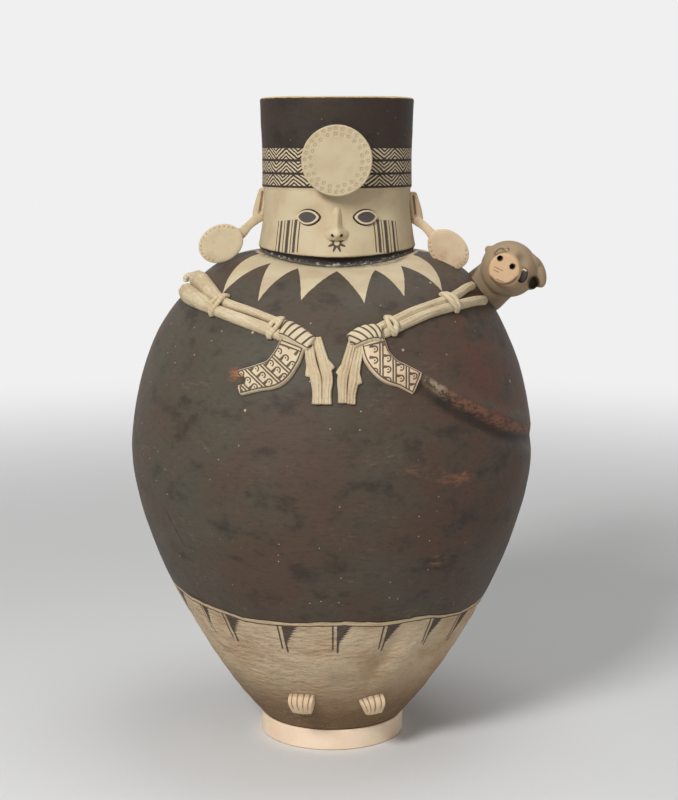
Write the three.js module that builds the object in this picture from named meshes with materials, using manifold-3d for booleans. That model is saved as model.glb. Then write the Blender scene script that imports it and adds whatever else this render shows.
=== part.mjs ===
// Figural jar: a thin walled, egg shaped jar whose neck is a head in a tall hat.
// A small animal is carried round the shoulders, its legs held in two fists.
// Millimetres and degrees. +Z is up, the front faces -Y, and the origin lies on the
// floor under the middle of the jar. Left and right are as seen from the front.

import * as THREE from 'three';
import { mergeVertices } from 'three/addons/utils/BufferGeometryUtils.js';
import Module from 'manifold-3d';

const wasm = await Module();
wasm.setup();

// Ring stand
const STAND_HEIGHT = 21;
const STAND_WALL = 5.5;
const STAND_EDGE_ROUND = 1.5;

// Jar
const BELLY_RADIUS = 200.2;
const BELLY_HEIGHT = 300;
const BASE_RADIUS = 66.5;
const BASE_SLOPE = 7.1;
const SEAT_DEPTH = 2;
const LOWER_BELLY_PULL = 114.3;
const LOWER_BASE_PULL = 17.1;
const SHOULDER_HEIGHT = 484;
const SHOULDER_SLOPE = 4.7;
const UPPER_BELLY_PULL = 20.3;
const UPPER_SHOULDER_PULL = 108;
const JAR_WALL = 8;

// Neck, with the head below and the hat above
const NECK_BASE_RADIUS = 78;
const JAW_RADIUS = 76.3;
const TEMPLE_RADIUS = 72.4;
const HAT_RADIUS = 73.6;
const RIM_RADIUS = 75.4;
const NECK_WALL = 7;
const HEAD_OFFSET = 5;
const SADDLE_RISE = 5.5;
const SADDLE_DROP = 5.5;

// Face: the hat's lower edge is the hairline, and brow, nose and chin share what is
// below it in equal thirds. The face is five eyes wide.
const CHIN_RISE = 3;
const FACE_HEIGHT = 65;
const HAT_TALL = 86;
const CHIN_HEIGHT = SHOULDER_HEIGHT + CHIN_RISE;
const HAT_EDGE_HEIGHT = CHIN_HEIGHT + FACE_HEIGHT;
const RIM_HEIGHT = HAT_EDGE_HEIGHT + HAT_TALL;
const FACE_THIRD = FACE_HEIGHT / 3;
const BROW_HEIGHT = HAT_EDGE_HEIGHT - FACE_THIRD;
const NOSE_BASE_HEIGHT = BROW_HEIGHT - FACE_THIRD;
const MOUTH_HEIGHT = NOSE_BASE_HEIGHT - FACE_THIRD / 3;
const EYE_HEIGHT = BROW_HEIGHT - FACE_THIRD / 4;
const EYE_WIDTH = 28;
const EYE_TALL = 16;
const EYE_PROUD = 3.2;
const EYE_ANGLE = 22.5;
const NOSE_BRIDGE_WIDTH = 8;
const NOSE_WING_WIDTH = 19;
const NOSE_PROUD = 11;
const NOSTRIL_RADIUS = 1.6;

// Hat ornament
const HAT_DISC_RADIUS = 33;
const HAT_DISC_THICKNESS = 4.5;
const HAT_DISC_HEIGHT = HAT_EDGE_HEIGHT + 26;
const HAT_DISC_STANDOFF = 10;
const HAT_PEG_RADIUS = 9;

// Ear ornaments
const EAR_DISC_LONG = 22.5;
const EAR_DISC_WIDE = 18;
const EAR_DISC_THICKNESS = 4.5;
const EAR_DEPTH = 6;
const EAR_DISC_DEPTH = 34;
const LOBE_RADIUS = 4.2;

// Clay relief
const SEAT_GAP = 0.3;
const CORD_RADIUS = 2.7;
const CORD_LIFT = 7.5;
const TIE_SLIT = 1.8;
const ARCH_STEPS = 6;
const SUNK = 4;
const EDGE_SUNK = 1;
const ANIMAL_HEAD_RADIUS = 27;
const ANIMAL_NECK_RADIUS = 22.3;
const SNOUT_RADIUS = 15;
const SNOUT_NOSTRIL_RADIUS = 2.5;

// Facets
const TURN_SEGMENTS = 48;

// Dents and folds pressed into the soft wall: where they are, how far they reach
// along and across, how they lean, and how deep they go (outwards is positive)
const FOLD_TILT = -38;
const JAR_PRESSES = [
  { angle: 44, height: BELLY_HEIGHT + 62, along: 62, across: 11, tilt: FOLD_TILT, push: 5.5 },
  { angle: 46, height: BELLY_HEIGHT + 38, along: 60, across: 13, tilt: FOLD_TILT, push: -6.5 },
  { angle: 47, height: BELLY_HEIGHT - 15, along: 40, across: 26, tilt: -20, push: -4 },
  { angle: 52, height: BELLY_HEIGHT - 45, along: 36, across: 22, tilt: -50, push: 3 },
  { angle: -42, height: BELLY_HEIGHT + 18, along: 30, across: 44, tilt: 0, push: -2.5 },
  { angle: 8, height: BELLY_HEIGHT - 110, along: 24, across: 50, tilt: 0, push: -2.5 },
  { angle: -28, height: BELLY_HEIGHT - 125, along: 22, across: 55, tilt: 0, push: 2 },
  { angle: 150, height: BELLY_HEIGHT - 60, along: 60, across: 50, tilt: 0, push: -2.5 },
];

const HEAD_PRESSES = [
  { angle: 0, height: CHIN_HEIGHT + 3, along: 15, across: 6, tilt: 0, push: 7 },
  { angle: 0, height: MOUTH_HEIGHT, along: 20, across: 8, tilt: 0, push: 1.5 },
  { angle: EYE_ANGLE, height: EYE_HEIGHT, along: 15, across: 9, tilt: 0, push: -2.5 },
  { angle: -EYE_ANGLE, height: EYE_HEIGHT, along: 15, across: 9, tilt: 0, push: -2.5 },
  { angle: 0, height: BROW_HEIGHT + 8, along: 30, across: 5, tilt: 0, push: 1.5 },
];

// Turned walls

function polar(angle, radius, height) {
  const turn = THREE.MathUtils.degToRad(angle);
  return new THREE.Vector3(radius * Math.sin(turn), -radius * Math.cos(turn), height);
}

function angleOf(point) {
  return THREE.MathUtils.radToDeg(Math.atan2(point.x, -point.y));
}

function pushOf(presses, angle, radius, height) {
  let push = 0;
  for (const press of presses) {
    const apart = THREE.MathUtils.euclideanModulo(angle - press.angle + 180, 360) - 180;
    const round = THREE.MathUtils.degToRad(apart) * radius;
    const rise = height - press.height;
    const tilt = THREE.MathUtils.degToRad(press.tilt);
    const along = (round * Math.cos(tilt) + rise * Math.sin(tilt)) / press.along;
    const across = (rise * Math.cos(tilt) - round * Math.sin(tilt)) / press.across;
    push += press.push * Math.exp(-0.5 * (along * along + across * across));
  }
  return push;
}

// The seam of shoulder and neck dips at the front and rises at the sides
function saddle(angle) {
  const front = Math.max(0, Math.cos(THREE.MathUtils.degToRad(angle)));
  return SADDLE_RISE - (SADDLE_RISE + SADDLE_DROP) * front * front;
}

const SADDLE_START = SHOULDER_HEIGHT - 44;
const LEAN_START = SHOULDER_HEIGHT - 84;

function jarForm(angle, radius, height) {
  const push = pushOf(JAR_PRESSES, angle, BELLY_RADIUS, height);
  const raised = THREE.MathUtils.smoothstep(height, SADDLE_START, SHOULDER_HEIGHT);
  const leant = THREE.MathUtils.smoothstep(height, LEAN_START, SHOULDER_HEIGHT);
  const point = polar(angle, radius + push, height + raised * saddle(angle));
  point.x += HEAD_OFFSET * leant;
  return point;
}

function neckForm(angle, radius, height, pressed) {
  const push = pressed ? pushOf(HEAD_PRESSES, angle, TEMPLE_RADIUS, height) : 0;
  const level = THREE.MathUtils.smoothstep(height, SHOULDER_HEIGHT + 2, MOUTH_HEIGHT + 24);
  const point = polar(angle, radius + push, height + (1 - level) * saddle(angle));
  point.x += HEAD_OFFSET;
  return point;
}

const BASE_HEIGHT = STAND_HEIGHT - SEAT_DEPTH;
const UNDERSIDE_SAG = (BASE_RADIUS / 2) * Math.tan(THREE.MathUtils.degToRad(BASE_SLOPE));

function slopeStep(degrees, length) {
  const turn = THREE.MathUtils.degToRad(degrees);
  return new THREE.Vector2(length * Math.cos(turn), length * Math.sin(turn));
}

// The jar's outside from the middle of its underside to the seam with the neck
function jarCurves() {
  const bottom = new THREE.Vector2(0, BASE_HEIGHT - UNDERSIDE_SAG);
  const base = new THREE.Vector2(BASE_RADIUS, BASE_HEIGHT);
  const belly = new THREE.Vector2(BELLY_RADIUS, BELLY_HEIGHT);
  const seam = new THREE.Vector2(NECK_BASE_RADIUS, SHOULDER_HEIGHT);
  const underside = new THREE.QuadraticBezierCurve(
    bottom, new THREE.Vector2(BASE_RADIUS / 2, bottom.y), base);
  const lower = new THREE.CubicBezierCurve(
    base, base.clone().add(slopeStep(BASE_SLOPE, LOWER_BASE_PULL)),
    new THREE.Vector2(BELLY_RADIUS, BELLY_HEIGHT - LOWER_BELLY_PULL), belly);
  const upper = new THREE.CubicBezierCurve(
    belly, new THREE.Vector2(BELLY_RADIUS, BELLY_HEIGHT + UPPER_BELLY_PULL),
    seam.clone().add(slopeStep(-SHOULDER_SLOPE, UPPER_SHOULDER_PULL)), seam);
  return { underside, lower, upper };
}

function jarOutline(undersideSteps, lowerSteps, upperSteps) {
  const { underside, lower, upper } = jarCurves();
  return [
    ...underside.getPoints(undersideSteps),
    ...lower.getPoints(lowerSteps).slice(1),
    ...upper.getPoints(upperSteps).slice(1),
  ];
}

function offsetOutline(points, distance) {
  return points.map((point, i) => {
    const before = points[Math.max(0, i - 1)];
    const after = points[Math.min(points.length - 1, i + 1)];
    const along = after.clone().sub(before).normalize();
    const moved = new THREE.Vector2(point.x + along.y * distance, point.y - along.x * distance);
    moved.x = point.x === 0 ? 0 : moved.x;
    return moved;
  });
}

// The neck's outside from the seam to the rim
function neckOutline() {
  const face = new THREE.SplineCurve([
    new THREE.Vector2(NECK_BASE_RADIUS, SHOULDER_HEIGHT + SEAT_GAP),
    new THREE.Vector2(JAW_RADIUS, CHIN_HEIGHT + 9),
    new THREE.Vector2(TEMPLE_RADIUS, EYE_HEIGHT + 4),
    new THREE.Vector2(TEMPLE_RADIUS, HAT_EDGE_HEIGHT - 2),
  ]).getPoints(10);
  const hat = new THREE.SplineCurve([
    new THREE.Vector2(HAT_RADIUS, HAT_EDGE_HEIGHT),
    new THREE.Vector2(HAT_RADIUS, HAT_EDGE_HEIGHT + 36),
    new THREE.Vector2(RIM_RADIUS, RIM_HEIGHT - 3),
  ]).getPoints(4);
  return [...face, ...hat];
}

function radiusAt(points, height) {
  const next = points.findIndex((point, i) => i > 0 && point.y >= height);
  const upper = points[next < 1 ? points.length - 1 : next];
  const lower = points[next < 1 ? points.length - 2 : next - 1];
  const share = THREE.MathUtils.clamp((height - lower.y) / (upper.y - lower.y), 0, 1);
  return THREE.MathUtils.lerp(lower.x, upper.x, share);
}

const JAR_SKIN_OUTLINE = jarOutline(2, 80, 80);
const NECK_SKIN_OUTLINE = neckOutline();

// Points of the finished outer walls, for whatever is laid on them
const jarSkin = (angle, height) => jarForm(angle, radiusAt(JAR_SKIN_OUTLINE, height), height);
const neckSkin = (angle, height) => neckForm(angle, radiusAt(NECK_SKIN_OUTLINE, height), height, true);

// Solids

function solidOf(geometry) {
  const bare = geometry.index ? geometry.toNonIndexed() : geometry.clone();
  bare.deleteAttribute('normal');
  bare.deleteAttribute('uv');
  const merged = mergeVertices(bare, 1e-4);
  const places = merged.attributes.position.array;
  const corners = merged.index.array;
  const kept = [];
  for (let i = 0; i < corners.length; i += 3) {
    const [a, b, c] = [corners[i], corners[i + 1], corners[i + 2]];
    if (a !== b && b !== c && c !== a) kept.push(a, b, c);
  }
  const build = (triangles) => new wasm.Manifold(new wasm.Mesh({
    numProp: 3,
    vertProperties: new Float32Array(places),
    triVerts: new Uint32Array(triangles),
  }));
  return signedVolume(places, kept) > 0 ? build(kept) : build(kept.reverse());
}

function signedVolume(places, triangles) {
  const a = new THREE.Vector3();
  const b = new THREE.Vector3();
  const c = new THREE.Vector3();
  let volume = 0;
  for (let i = 0; i < triangles.length; i += 3) {
    a.fromArray(places, triangles[i] * 3);
    b.fromArray(places, triangles[i + 1] * 3);
    c.fromArray(places, triangles[i + 2] * 3);
    volume += a.dot(b.cross(c)) / 6;
  }
  return volume;
}

function largestBody(solid) {
  const bodies = solid.decompose();
  return bodies.reduce((best, body) => (body.volume() > best.volume() ? body : best));
}

function without(solid, ...cutters) {
  return largestBody(cutters.reduce((left, cutter) => left.subtract(cutter), solid));
}

// A lathe turned about Z, each vertex then moved to where the hand has pressed it
function turned(outline, form) {
  const geometry = new THREE.LatheGeometry(outline, TURN_SEGMENTS);
  geometry.rotateX(Math.PI / 2);
  const place = geometry.attributes.position;
  const point = new THREE.Vector3();
  for (let i = 0; i < place.count; i++) {
    point.fromBufferAttribute(place, i);
    const radius = Math.hypot(point.x, point.y);
    const angle = radius < 0.001 ? 0 : angleOf(point);
    const moved = form(angle, radius, point.z);
    place.setXYZ(i, moved.x, moved.y, moved.z);
  }
  return solidOf(geometry);
}

// A closed skin over a row of rings that all have as many points
function loft(rings) {
  const sides = rings[0].length;
  const middle = (ring) => ring.reduce((sum, p) => sum.add(p), new THREE.Vector3()).divideScalar(sides);
  const points = [...rings.flat(), middle(rings[0]), middle(rings[rings.length - 1])];
  const first = points.length - 2;
  const last = points.length - 1;
  const triangles = [];
  for (let k = 0; k < sides; k++) {
    const next = (k + 1) % sides;
    triangles.push(first, next, k);
    for (let i = 0; i + 1 < rings.length; i++) {
      const here = i * sides;
      const there = here + sides;
      triangles.push(here + k, here + next, there + next, here + k, there + next, there + k);
    }
    const end = (rings.length - 1) * sides;
    triangles.push(last, end + k, end + next);
  }
  const geometry = new THREE.BufferGeometry().setFromPoints(points);
  geometry.setIndex(triangles);
  return solidOf(geometry);
}

// Where rings stand along a length, closer together at its rounded ends, and how
// full each of them is
function ringPlaces(length, round, steps) {
  const reach = Math.min(round, length / 3);
  const places = [{ at: 0, full: 0.45 }, { at: reach * 0.3, full: 0.8 }];
  for (let i = 0; i <= steps; i++) {
    places.push({ at: reach + ((length - 2 * reach) * i) / steps, full: 1 });
  }
  places.push({ at: length - reach * 0.3, full: 0.8 }, { at: length, full: 0.45 });
  return places;
}

function outwardOf(skin, angle, height) {
  const small = 0.5;
  const round = skin(angle + small, height).sub(skin(angle - small, height));
  const rise = skin(angle, height + small).sub(skin(angle, height - small));
  return round.cross(rise).normalize();
}

// A roll or slab of clay laid on a wall. Its stops are [angle, height, half width].
// fullness is its rise over its half width, square above 1 flattens its top, and
// ridges with groove part it into that many fingers or toes.
function laidClay(skin, stops, options = {}) {
  const { fullness = 1.3, square = 1, steps = 6, round = 5, grow = 0 } = options;
  const { ridges = 0, groove = 0, arch = ARCH_STEPS } = options;
  const curve = new THREE.CatmullRomCurve3(stops.map((stop) => new THREE.Vector3(...stop)));
  const middleAt = (share) => {
    const stop = curve.getPoint(THREE.MathUtils.clamp(share, 0, 1));
    return { stop, point: skin(stop.x, stop.y) };
  };
  const length = middleAt(0).point.distanceTo(middleAt(0.5).point)
    + middleAt(0.5).point.distanceTo(middleAt(1).point);
  const rings = ringPlaces(length, round, steps).map(({ at, full }) => {
    const share = at / length;
    const { stop, point } = middleAt(share);
    const out = outwardOf(skin, stop.x, stop.y);
    const along = middleAt(share + 0.02).point.sub(middleAt(share - 0.02).point).normalize();
    const side = out.clone().cross(along).normalize();
    const part = ridges ? 1 - groove * (1 - Math.abs(Math.sin(Math.PI * ridges * share))) : 1;
    const half = stop.z * full * part + grow;
    const rise = stop.z * fullness * full * part + grow;
    const end = share <= 0 ? -grow : share >= 1 ? grow : 0;
    const ring = [];
    for (let k = 0; k <= arch; k++) {
      const turn = (Math.PI * k) / arch;
      const across = Math.sign(Math.cos(turn)) * Math.abs(Math.cos(turn)) ** (1 / square);
      const up = Math.abs(Math.sin(turn)) ** (1 / square);
      ring.push(point.clone()
        .addScaledVector(side, across * half)
        .addScaledVector(out, up * (rise + EDGE_SUNK) - EDGE_SUNK)
        .addScaledVector(along, end));
    }
    ring.push(point.clone().addScaledVector(out, -SUNK).addScaledVector(along, end));
    return ring;
  });
  return loft(rings);
}

// A rolled cord or limb that runs free through points, each with its own radius
function roll(stops, options = {}) {
  const { steps = 6, sides = 8, grow = 0, flat = 1, facing = new THREE.Vector3(0, -1, 0) } = options;
  const curve = new THREE.CatmullRomCurve3(stops.map((stop) => stop.at));
  const rings = [];
  for (let i = 0; i <= steps; i++) {
    const share = i / steps;
    const stopShare = share * (stops.length - 1);
    const here = Math.min(Math.floor(stopShare), stops.length - 2);
    const radius = grow + THREE.MathUtils.lerp(
      stops[here].radius, stops[here + 1].radius, stopShare - here);
    const along = curve.getTangent(share);
    const side = along.clone().cross(facing).normalize();
    const out = side.clone().cross(along).normalize();
    const end = i === 0 ? -grow : i === steps ? grow : 0;
    const middle = curve.getPoint(share).addScaledVector(along, end);
    const ring = [];
    for (let k = 0; k < sides; k++) {
      const turn = (2 * Math.PI * k) / sides;
      ring.push(middle.clone()
        .addScaledVector(side, radius * Math.cos(turn))
        .addScaledVector(out, radius * flat * Math.sin(turn)));
    }
    rings.push(ring);
  }
  return loft(rings);
}

function placed(geometry, place) {
  return solidOf(geometry.applyMatrix4(place));
}

// Where the solids above a wall have to stop
const SHOULDER_CUTTER = turned(
  [...offsetOutline(jarOutline(2, 11, 9), SEAT_GAP), new THREE.Vector2(0, SHOULDER_HEIGHT + SEAT_GAP)],
  jarForm);

function neckSolid(extra) {
  const outside = neckOutline().map((point) => new THREE.Vector2(point.x + extra, point.y));
  return turned([
    new THREE.Vector2(0, SHOULDER_HEIGHT - JAR_WALL),
    new THREE.Vector2(outside[0].x, SHOULDER_HEIGHT - JAR_WALL),
    ...outside,
    new THREE.Vector2(0, RIM_HEIGHT),
  ], (angle, radius, height) => neckForm(angle, radius, height, radius > TEMPLE_RADIUS - 2));
}

const NECK_CUTTER = neckSolid(SEAT_GAP);

// The main walls

function jarBody() {
  const outside = jarOutline(2, 11, 9);
  const inside = offsetOutline(jarOutline(1, 6, 5), -JAR_WALL).reverse();
  const mouth = NECK_BASE_RADIUS - NECK_WALL;
  return turned([
    ...outside,
    new THREE.Vector2(mouth, SHOULDER_HEIGHT),
    new THREE.Vector2(mouth, SHOULDER_HEIGHT - JAR_WALL),
    ...inside,
  ], jarForm);
}

function neckHead() {
  const outside = neckOutline();
  const last = outside[outside.length - 1];
  const inner = (radius, height) => new THREE.Vector2(radius - NECK_WALL, height);
  const lip = [
    new THREE.Vector2(RIM_RADIUS - 2, RIM_HEIGHT),
    new THREE.Vector2(RIM_RADIUS - NECK_WALL + 2, RIM_HEIGHT),
  ];
  const inside = [
    inner(RIM_RADIUS, last.y),
    inner(HAT_RADIUS, HAT_EDGE_HEIGHT),
    inner(TEMPLE_RADIUS, EYE_HEIGHT),
    inner(JAW_RADIUS, CHIN_HEIGHT + 9),
    inner(NECK_BASE_RADIUS, SHOULDER_HEIGHT + SEAT_GAP),
  ];
  const outline = [...outside, ...lip, ...inside];
  outline.push(outline[0].clone());
  return turned(outline, (angle, radius, height) => (
    neckForm(angle, radius, height, radius > TEMPLE_RADIUS - 2)));
}

function displayRing() {
  const outer = BASE_RADIUS + STAND_WALL;
  const edge = STAND_EDGE_ROUND;
  const outline = [
    new THREE.Vector2(BASE_RADIUS, 0),
    new THREE.Vector2(outer - edge, 0),
    new THREE.Vector2(outer, edge),
    new THREE.Vector2(outer, STAND_HEIGHT - edge),
    new THREE.Vector2(outer - edge, STAND_HEIGHT),
    new THREE.Vector2(BASE_RADIUS, STAND_HEIGHT),
    new THREE.Vector2(BASE_RADIUS, 0),
  ];
  return without(turned(outline, polar), SHOULDER_CUTTER);
}

// Face and hat

function hatDiscPlace() {
  const wall = neckSkin(0, HAT_DISC_HEIGHT);
  return { x: wall.x, back: wall.y - HAT_DISC_STANDOFF };
}

function hatDisc() {
  const { x, back } = hatDiscPlace();
  const disc = new THREE.CylinderGeometry(HAT_DISC_RADIUS, HAT_DISC_RADIUS, HAT_DISC_THICKNESS, 36);
  return placed(disc, new THREE.Matrix4()
    .makeTranslation(x, back - HAT_DISC_THICKNESS / 2, HAT_DISC_HEIGHT));
}

function hatDiscPeg() {
  const { x, back } = hatDiscPlace();
  const length = HAT_DISC_STANDOFF + NECK_WALL / 2;
  const peg = new THREE.CylinderGeometry(HAT_PEG_RADIUS, HAT_PEG_RADIUS + 2, length, 16);
  const place = new THREE.Matrix4()
    .makeTranslation(x, back + SEAT_GAP + length / 2, HAT_DISC_HEIGHT)
    .multiply(new THREE.Matrix4().makeRotationX(Math.PI));
  return without(placed(peg, place), NECK_CUTTER);
}

function eyePad(sign) {
  const halfAngle = THREE.MathUtils.radToDeg(EYE_WIDTH / 2 / TEMPLE_RADIUS);
  const stops = [[-1, 0.2], [-0.5, 0.42], [0, 0.5], [0.5, 0.42], [1, 0.2]].map(([along, tall]) => (
    [sign * EYE_ANGLE + along * halfAngle, EYE_HEIGHT, EYE_TALL * tall]));
  const pad = laidClay(neckSkin, stops, { fullness: EYE_PROUD / (EYE_TALL / 2), round: 3, steps: 5 });
  return without(pad, NECK_CUTTER);
}

function nose() {
  const stops = [
    [0, BROW_HEIGHT + 3, NOSE_BRIDGE_WIDTH / 2],
    [0, BROW_HEIGHT - FACE_THIRD / 2, NOSE_BRIDGE_WIDTH / 2 + 1],
    [0, NOSE_BASE_HEIGHT + 5, NOSE_WING_WIDTH / 2],
    [0, NOSE_BASE_HEIGHT, NOSE_WING_WIDTH / 2],
  ];
  const ridge = laidClay(neckSkin, stops, { fullness: NOSE_PROUD / (NOSE_WING_WIDTH / 2), round: 3 });
  const nostrils = [-1, 1].map((sign) => {
    const wall = neckSkin(0, NOSE_BASE_HEIGHT);
    const pit = new THREE.CylinderGeometry(NOSTRIL_RADIUS, NOSTRIL_RADIUS, 6, 8);
    return placed(pit, new THREE.Matrix4()
      .makeTranslation(wall.x + sign * NOSE_WING_WIDTH / 4, wall.y - NOSE_PROUD / 2, NOSE_BASE_HEIGHT)
      .multiply(new THREE.Matrix4().makeRotationX(Math.PI / 2)));
  });
  return without(ridge, NECK_CUTTER, ...nostrils);
}

// Ears: a folded flap that runs out into a long lobe, with a round ornament in it.
// Their places are out from the temple, forward of the neck's axis and up from the chin.
function earPlace(sign, out, depth, rise) {
  return new THREE.Vector3(HEAD_OFFSET + sign * (TEMPLE_RADIUS + out), -depth, CHIN_HEIGHT + rise);
}

const LOBE_DEPTH = (EAR_DEPTH + EAR_DISC_DEPTH) / 2;
const EARS = {
  left: {
    sign: -1,
    top: earPlace(-1, 1, EAR_DEPTH, 64),
    turn: earPlace(-1, 5, EAR_DEPTH, 36),
    lobe: earPlace(-1, 19.6, LOBE_DEPTH, 21),
    disc: earPlace(-1, 39.6, EAR_DISC_DEPTH, 11),
    long: EAR_DISC_LONG,
    wide: EAR_DISC_WIDE,
  },
  right: {
    sign: 1,
    top: earPlace(1, 3, EAR_DEPTH, 60),
    turn: earPlace(1, 6.6, EAR_DEPTH, 33),
    lobe: earPlace(1, 20.6, LOBE_DEPTH, 18.5),
    disc: earPlace(1, 35.1, EAR_DISC_DEPTH, 5.5),
    long: EAR_DISC_LONG,
    wide: EAR_DISC_WIDE - 1,
  },
};

function earDiscRaw(ear, grow) {
  const along = ear.disc.clone().sub(ear.lobe).setY(0).normalize();
  const disc = new THREE.CylinderGeometry(1, 1, EAR_DISC_THICKNESS + 2 * grow, 28);
  const lean = Math.atan2(along.z, along.x);
  const place = new THREE.Matrix4().makeTranslation(ear.disc)
    .multiply(new THREE.Matrix4().makeRotationY(-lean))
    .multiply(new THREE.Matrix4().makeScale(ear.long + grow, 1, ear.wide + grow));
  return placed(disc, place);
}

function earDisc(ear) {
  return without(earDiscRaw(ear, 0), SHOULDER_CUTTER);
}

function earFlap(ear) {
  const flap = roll([
    { at: ear.top, radius: 3 },
    { at: ear.top.clone().lerp(ear.turn, 0.4), radius: LOBE_RADIUS },
    { at: ear.turn.clone().add(new THREE.Vector3(0, 0, 5)), radius: LOBE_RADIUS + 1.5 },
    { at: ear.turn.clone().add(new THREE.Vector3(-ear.sign * 2, 0, -5)), radius: 3 },
  ], { steps: 6, flat: 0.8 });
  const lobe = roll([
    { at: ear.turn.clone().add(new THREE.Vector3(-ear.sign * 5, 0, 2)), radius: LOBE_RADIUS + 1.5 },
    { at: ear.turn.clone().lerp(ear.lobe, 0.55), radius: LOBE_RADIUS + 0.5 },
    { at: ear.lobe, radius: LOBE_RADIUS + 1.7 },
    { at: ear.lobe.clone().lerp(ear.disc, 0.4), radius: LOBE_RADIUS + 4.5 },
  ], { steps: 6, flat: 0.6 });
  return without(flap.add(lobe), NECK_CUTTER, SHOULDER_CUTTER, earDiscRaw(ear, SEAT_GAP));
}

// The relief on the shoulder is given by [angle, drop below the shoulder, half width]
function onShoulder(stops) {
  return stops.map(([angle, drop, half]) => [angle, SHOULDER_HEIGHT - drop, half]);
}

// Legs of the animal: pairs of rolls from the shoulder down into the fist
const HIND = {
  upper: onShoulder([
    [-81, 22.5, 7], [-70, 23, 8], [-58, 27.5, 7.5], [-43, 36, 5], [-29.3, 41.7, 4], [-17.5, 50, 4],
    [-12, 56, 4]]),
  lower: onShoulder([
    [-79, 32, 6.5], [-68, 34.2, 7.6], [-57, 37, 7], [-44.5, 43.2, 5.5], [-30, 50.2, 6],
    [-18.5, 58, 6], [-13, 64, 5]]),
};
const FORE = {
  upper: onShoulder([
    [70, 27, 4.5], [60, 28, 4.5], [45, 34, 5], [29.6, 40.5, 4.5], [19, 49.5, 4.5], [13, 56, 4]]),
  lower: onShoulder([
    [71, 40, 5], [60, 38.5, 5], [46, 40, 5], [33, 44.5, 4.8], [20.5, 54.5, 4.8], [15, 61, 4]]),
};

function legSolid(stops, grow = 0) {
  return laidClay(jarSkin, stops, { fullness: 1.25, steps: 8, round: 5, arch: 4, grow });
}

// A knotted cord round a pair of legs: two turns that bow apart and leave a slit. Its
// ends are [angle, drop below the shoulder].
function tie({ from, to }, grow = 0) {
  const turns = [-1, 1].map((way) => {
    const stops = [];
    for (let i = 0; i <= 4; i++) {
      const share = i / 4;
      const arch = Math.sin(Math.PI * share);
      const height = SHOULDER_HEIGHT - THREE.MathUtils.lerp(from[1], to[1], share);
      const middle = THREE.MathUtils.lerp(from[0], to[0], share);
      const apart = way * arch * (CORD_RADIUS + TIE_SLIT / 2);
      const angle = middle + THREE.MathUtils.radToDeg(apart / radiusAt(JAR_SKIN_OUTLINE, height));
      const out = outwardOf(jarSkin, angle, height);
      const at = jarSkin(angle, height).addScaledVector(out, CORD_LIFT * Math.sqrt(arch));
      stops.push({ at, radius: CORD_RADIUS });
    }
    return roll(stops, { steps: 6, sides: 5, grow, facing: outwardOf(jarSkin, ...TIE_FACING) });
  });
  return turns[0].add(turns[1]);
}

const TIE_FACING = [0, SHOULDER_HEIGHT - 40];
const TIES = {
  hind_tie_outer: { from: [-43.2, 30.5], to: [-45.2, 48.5] },
  hind_tie_inner: { from: [-16, 43], to: [-19.6, 63.5] },
  fore_tie_outer: { from: [43, 29], to: [46.5, 45.5] },
  fore_tie_inner: { from: [16.8, 41.5], to: [19.5, 61] },
};

// Hands, sleeves and the leg ends below the fists
const LEFT_HAND = onShoulder([[-16, 56, 9.5], [-12.8, 58.5, 9.5], [-9.2, 63.5, 9], [-5.6, 69, 7.5]]);
const RIGHT_HAND = onShoulder([[15.2, 60.5, 8.5], [12.3, 59.5, 9], [9, 61.5, 9], [5.2, 66.5, 7.5]]);
const LEFT_SLEEVE = onShoulder([
  [-12, 71, 12.5], [-13.2, 81, 13.2], [-16, 92.4, 13.6], [-21, 97.5, 12.2], [-26.6, 103, 11.7]]);
const RIGHT_SLEEVE = onShoulder([
  [12.4, 67.5, 12], [13.5, 79, 12.5], [16.5, 90, 12.3], [20.5, 95.8, 11], [24.8, 103.3, 11]]);
const HOOVES = {
  hind_hoof_outer: onShoulder([
    [-6.4, 71, 4.5], [-5.6, 84, 5], [-4.2, 97, 5.2], [-3.7, 108, 4], [-3.7, 118, 4]]),
  hind_hoof_inner: onShoulder([
    [-3.6, 69, 4.5], [-2, 83, 5], [-1, 96, 5.2], [-1.4, 108, 4], [-1.4, 118, 4]]),
  fore_hoof_outer: onShoulder([
    [8, 75, 4], [7, 86, 4.5], [6.2, 99, 4.8], [5.6, 109, 3.6], [5.2, 117.5, 3.6]]),
  fore_hoof_inner: onShoulder([
    [5.6, 74, 4], [4.4, 84, 4.5], [3.1, 96, 4.5], [3, 108, 3.6], [3.2, 116.5, 3.6]]),
};

function handSolid(stops, grow = 0) {
  return laidClay(jarSkin, stops, {
    fullness: 1.15, square: 1.3, steps: 12, round: 1.5, arch: 5, ridges: 4, groove: 0.14, grow });
}

function sleeveSolid(stops, grow = 0) {
  return laidClay(jarSkin, stops, { fullness: 0.42, square: 2.2, steps: 7, round: 1, arch: 5, grow });
}

function hoofSolid(stops, grow = 0) {
  return laidClay(jarSkin, stops, { fullness: 1.4, steps: 5, round: 2, arch: 4, grow });
}

// The chipped corner of the left sleeve
function sleeveChip() {
  const corner = jarSkin(-29, SHOULDER_HEIGHT - 97);
  const chip = new THREE.IcosahedronGeometry(8, 0);
  return placed(chip, new THREE.Matrix4().makeTranslation(corner));
}

function footSolid(stops) {
  const foot = laidClay(jarSkin, stops, {
    fullness: 0.8, square: 1.4, steps: 12, round: 1.5, arch: 4, ridges: 5, groove: 0.1 });
  return without(foot, SHOULDER_CUTTER);
}

// The feet are given by [angle, rise above the base, half width]
function onBase(stops) {
  return stops.map(([angle, rise, half]) => [angle, BASE_HEIGHT + rise, half]);
}

const LEFT_FOOT = onBase([[-23.5, 38.5, 10.5], [-16.5, 40, 12.5], [-9, 40, 11.5]]);
const RIGHT_FOOT = onBase([[16.5, 35.5, 9.5], [23.5, 36, 12], [31, 36, 11]]);

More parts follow.
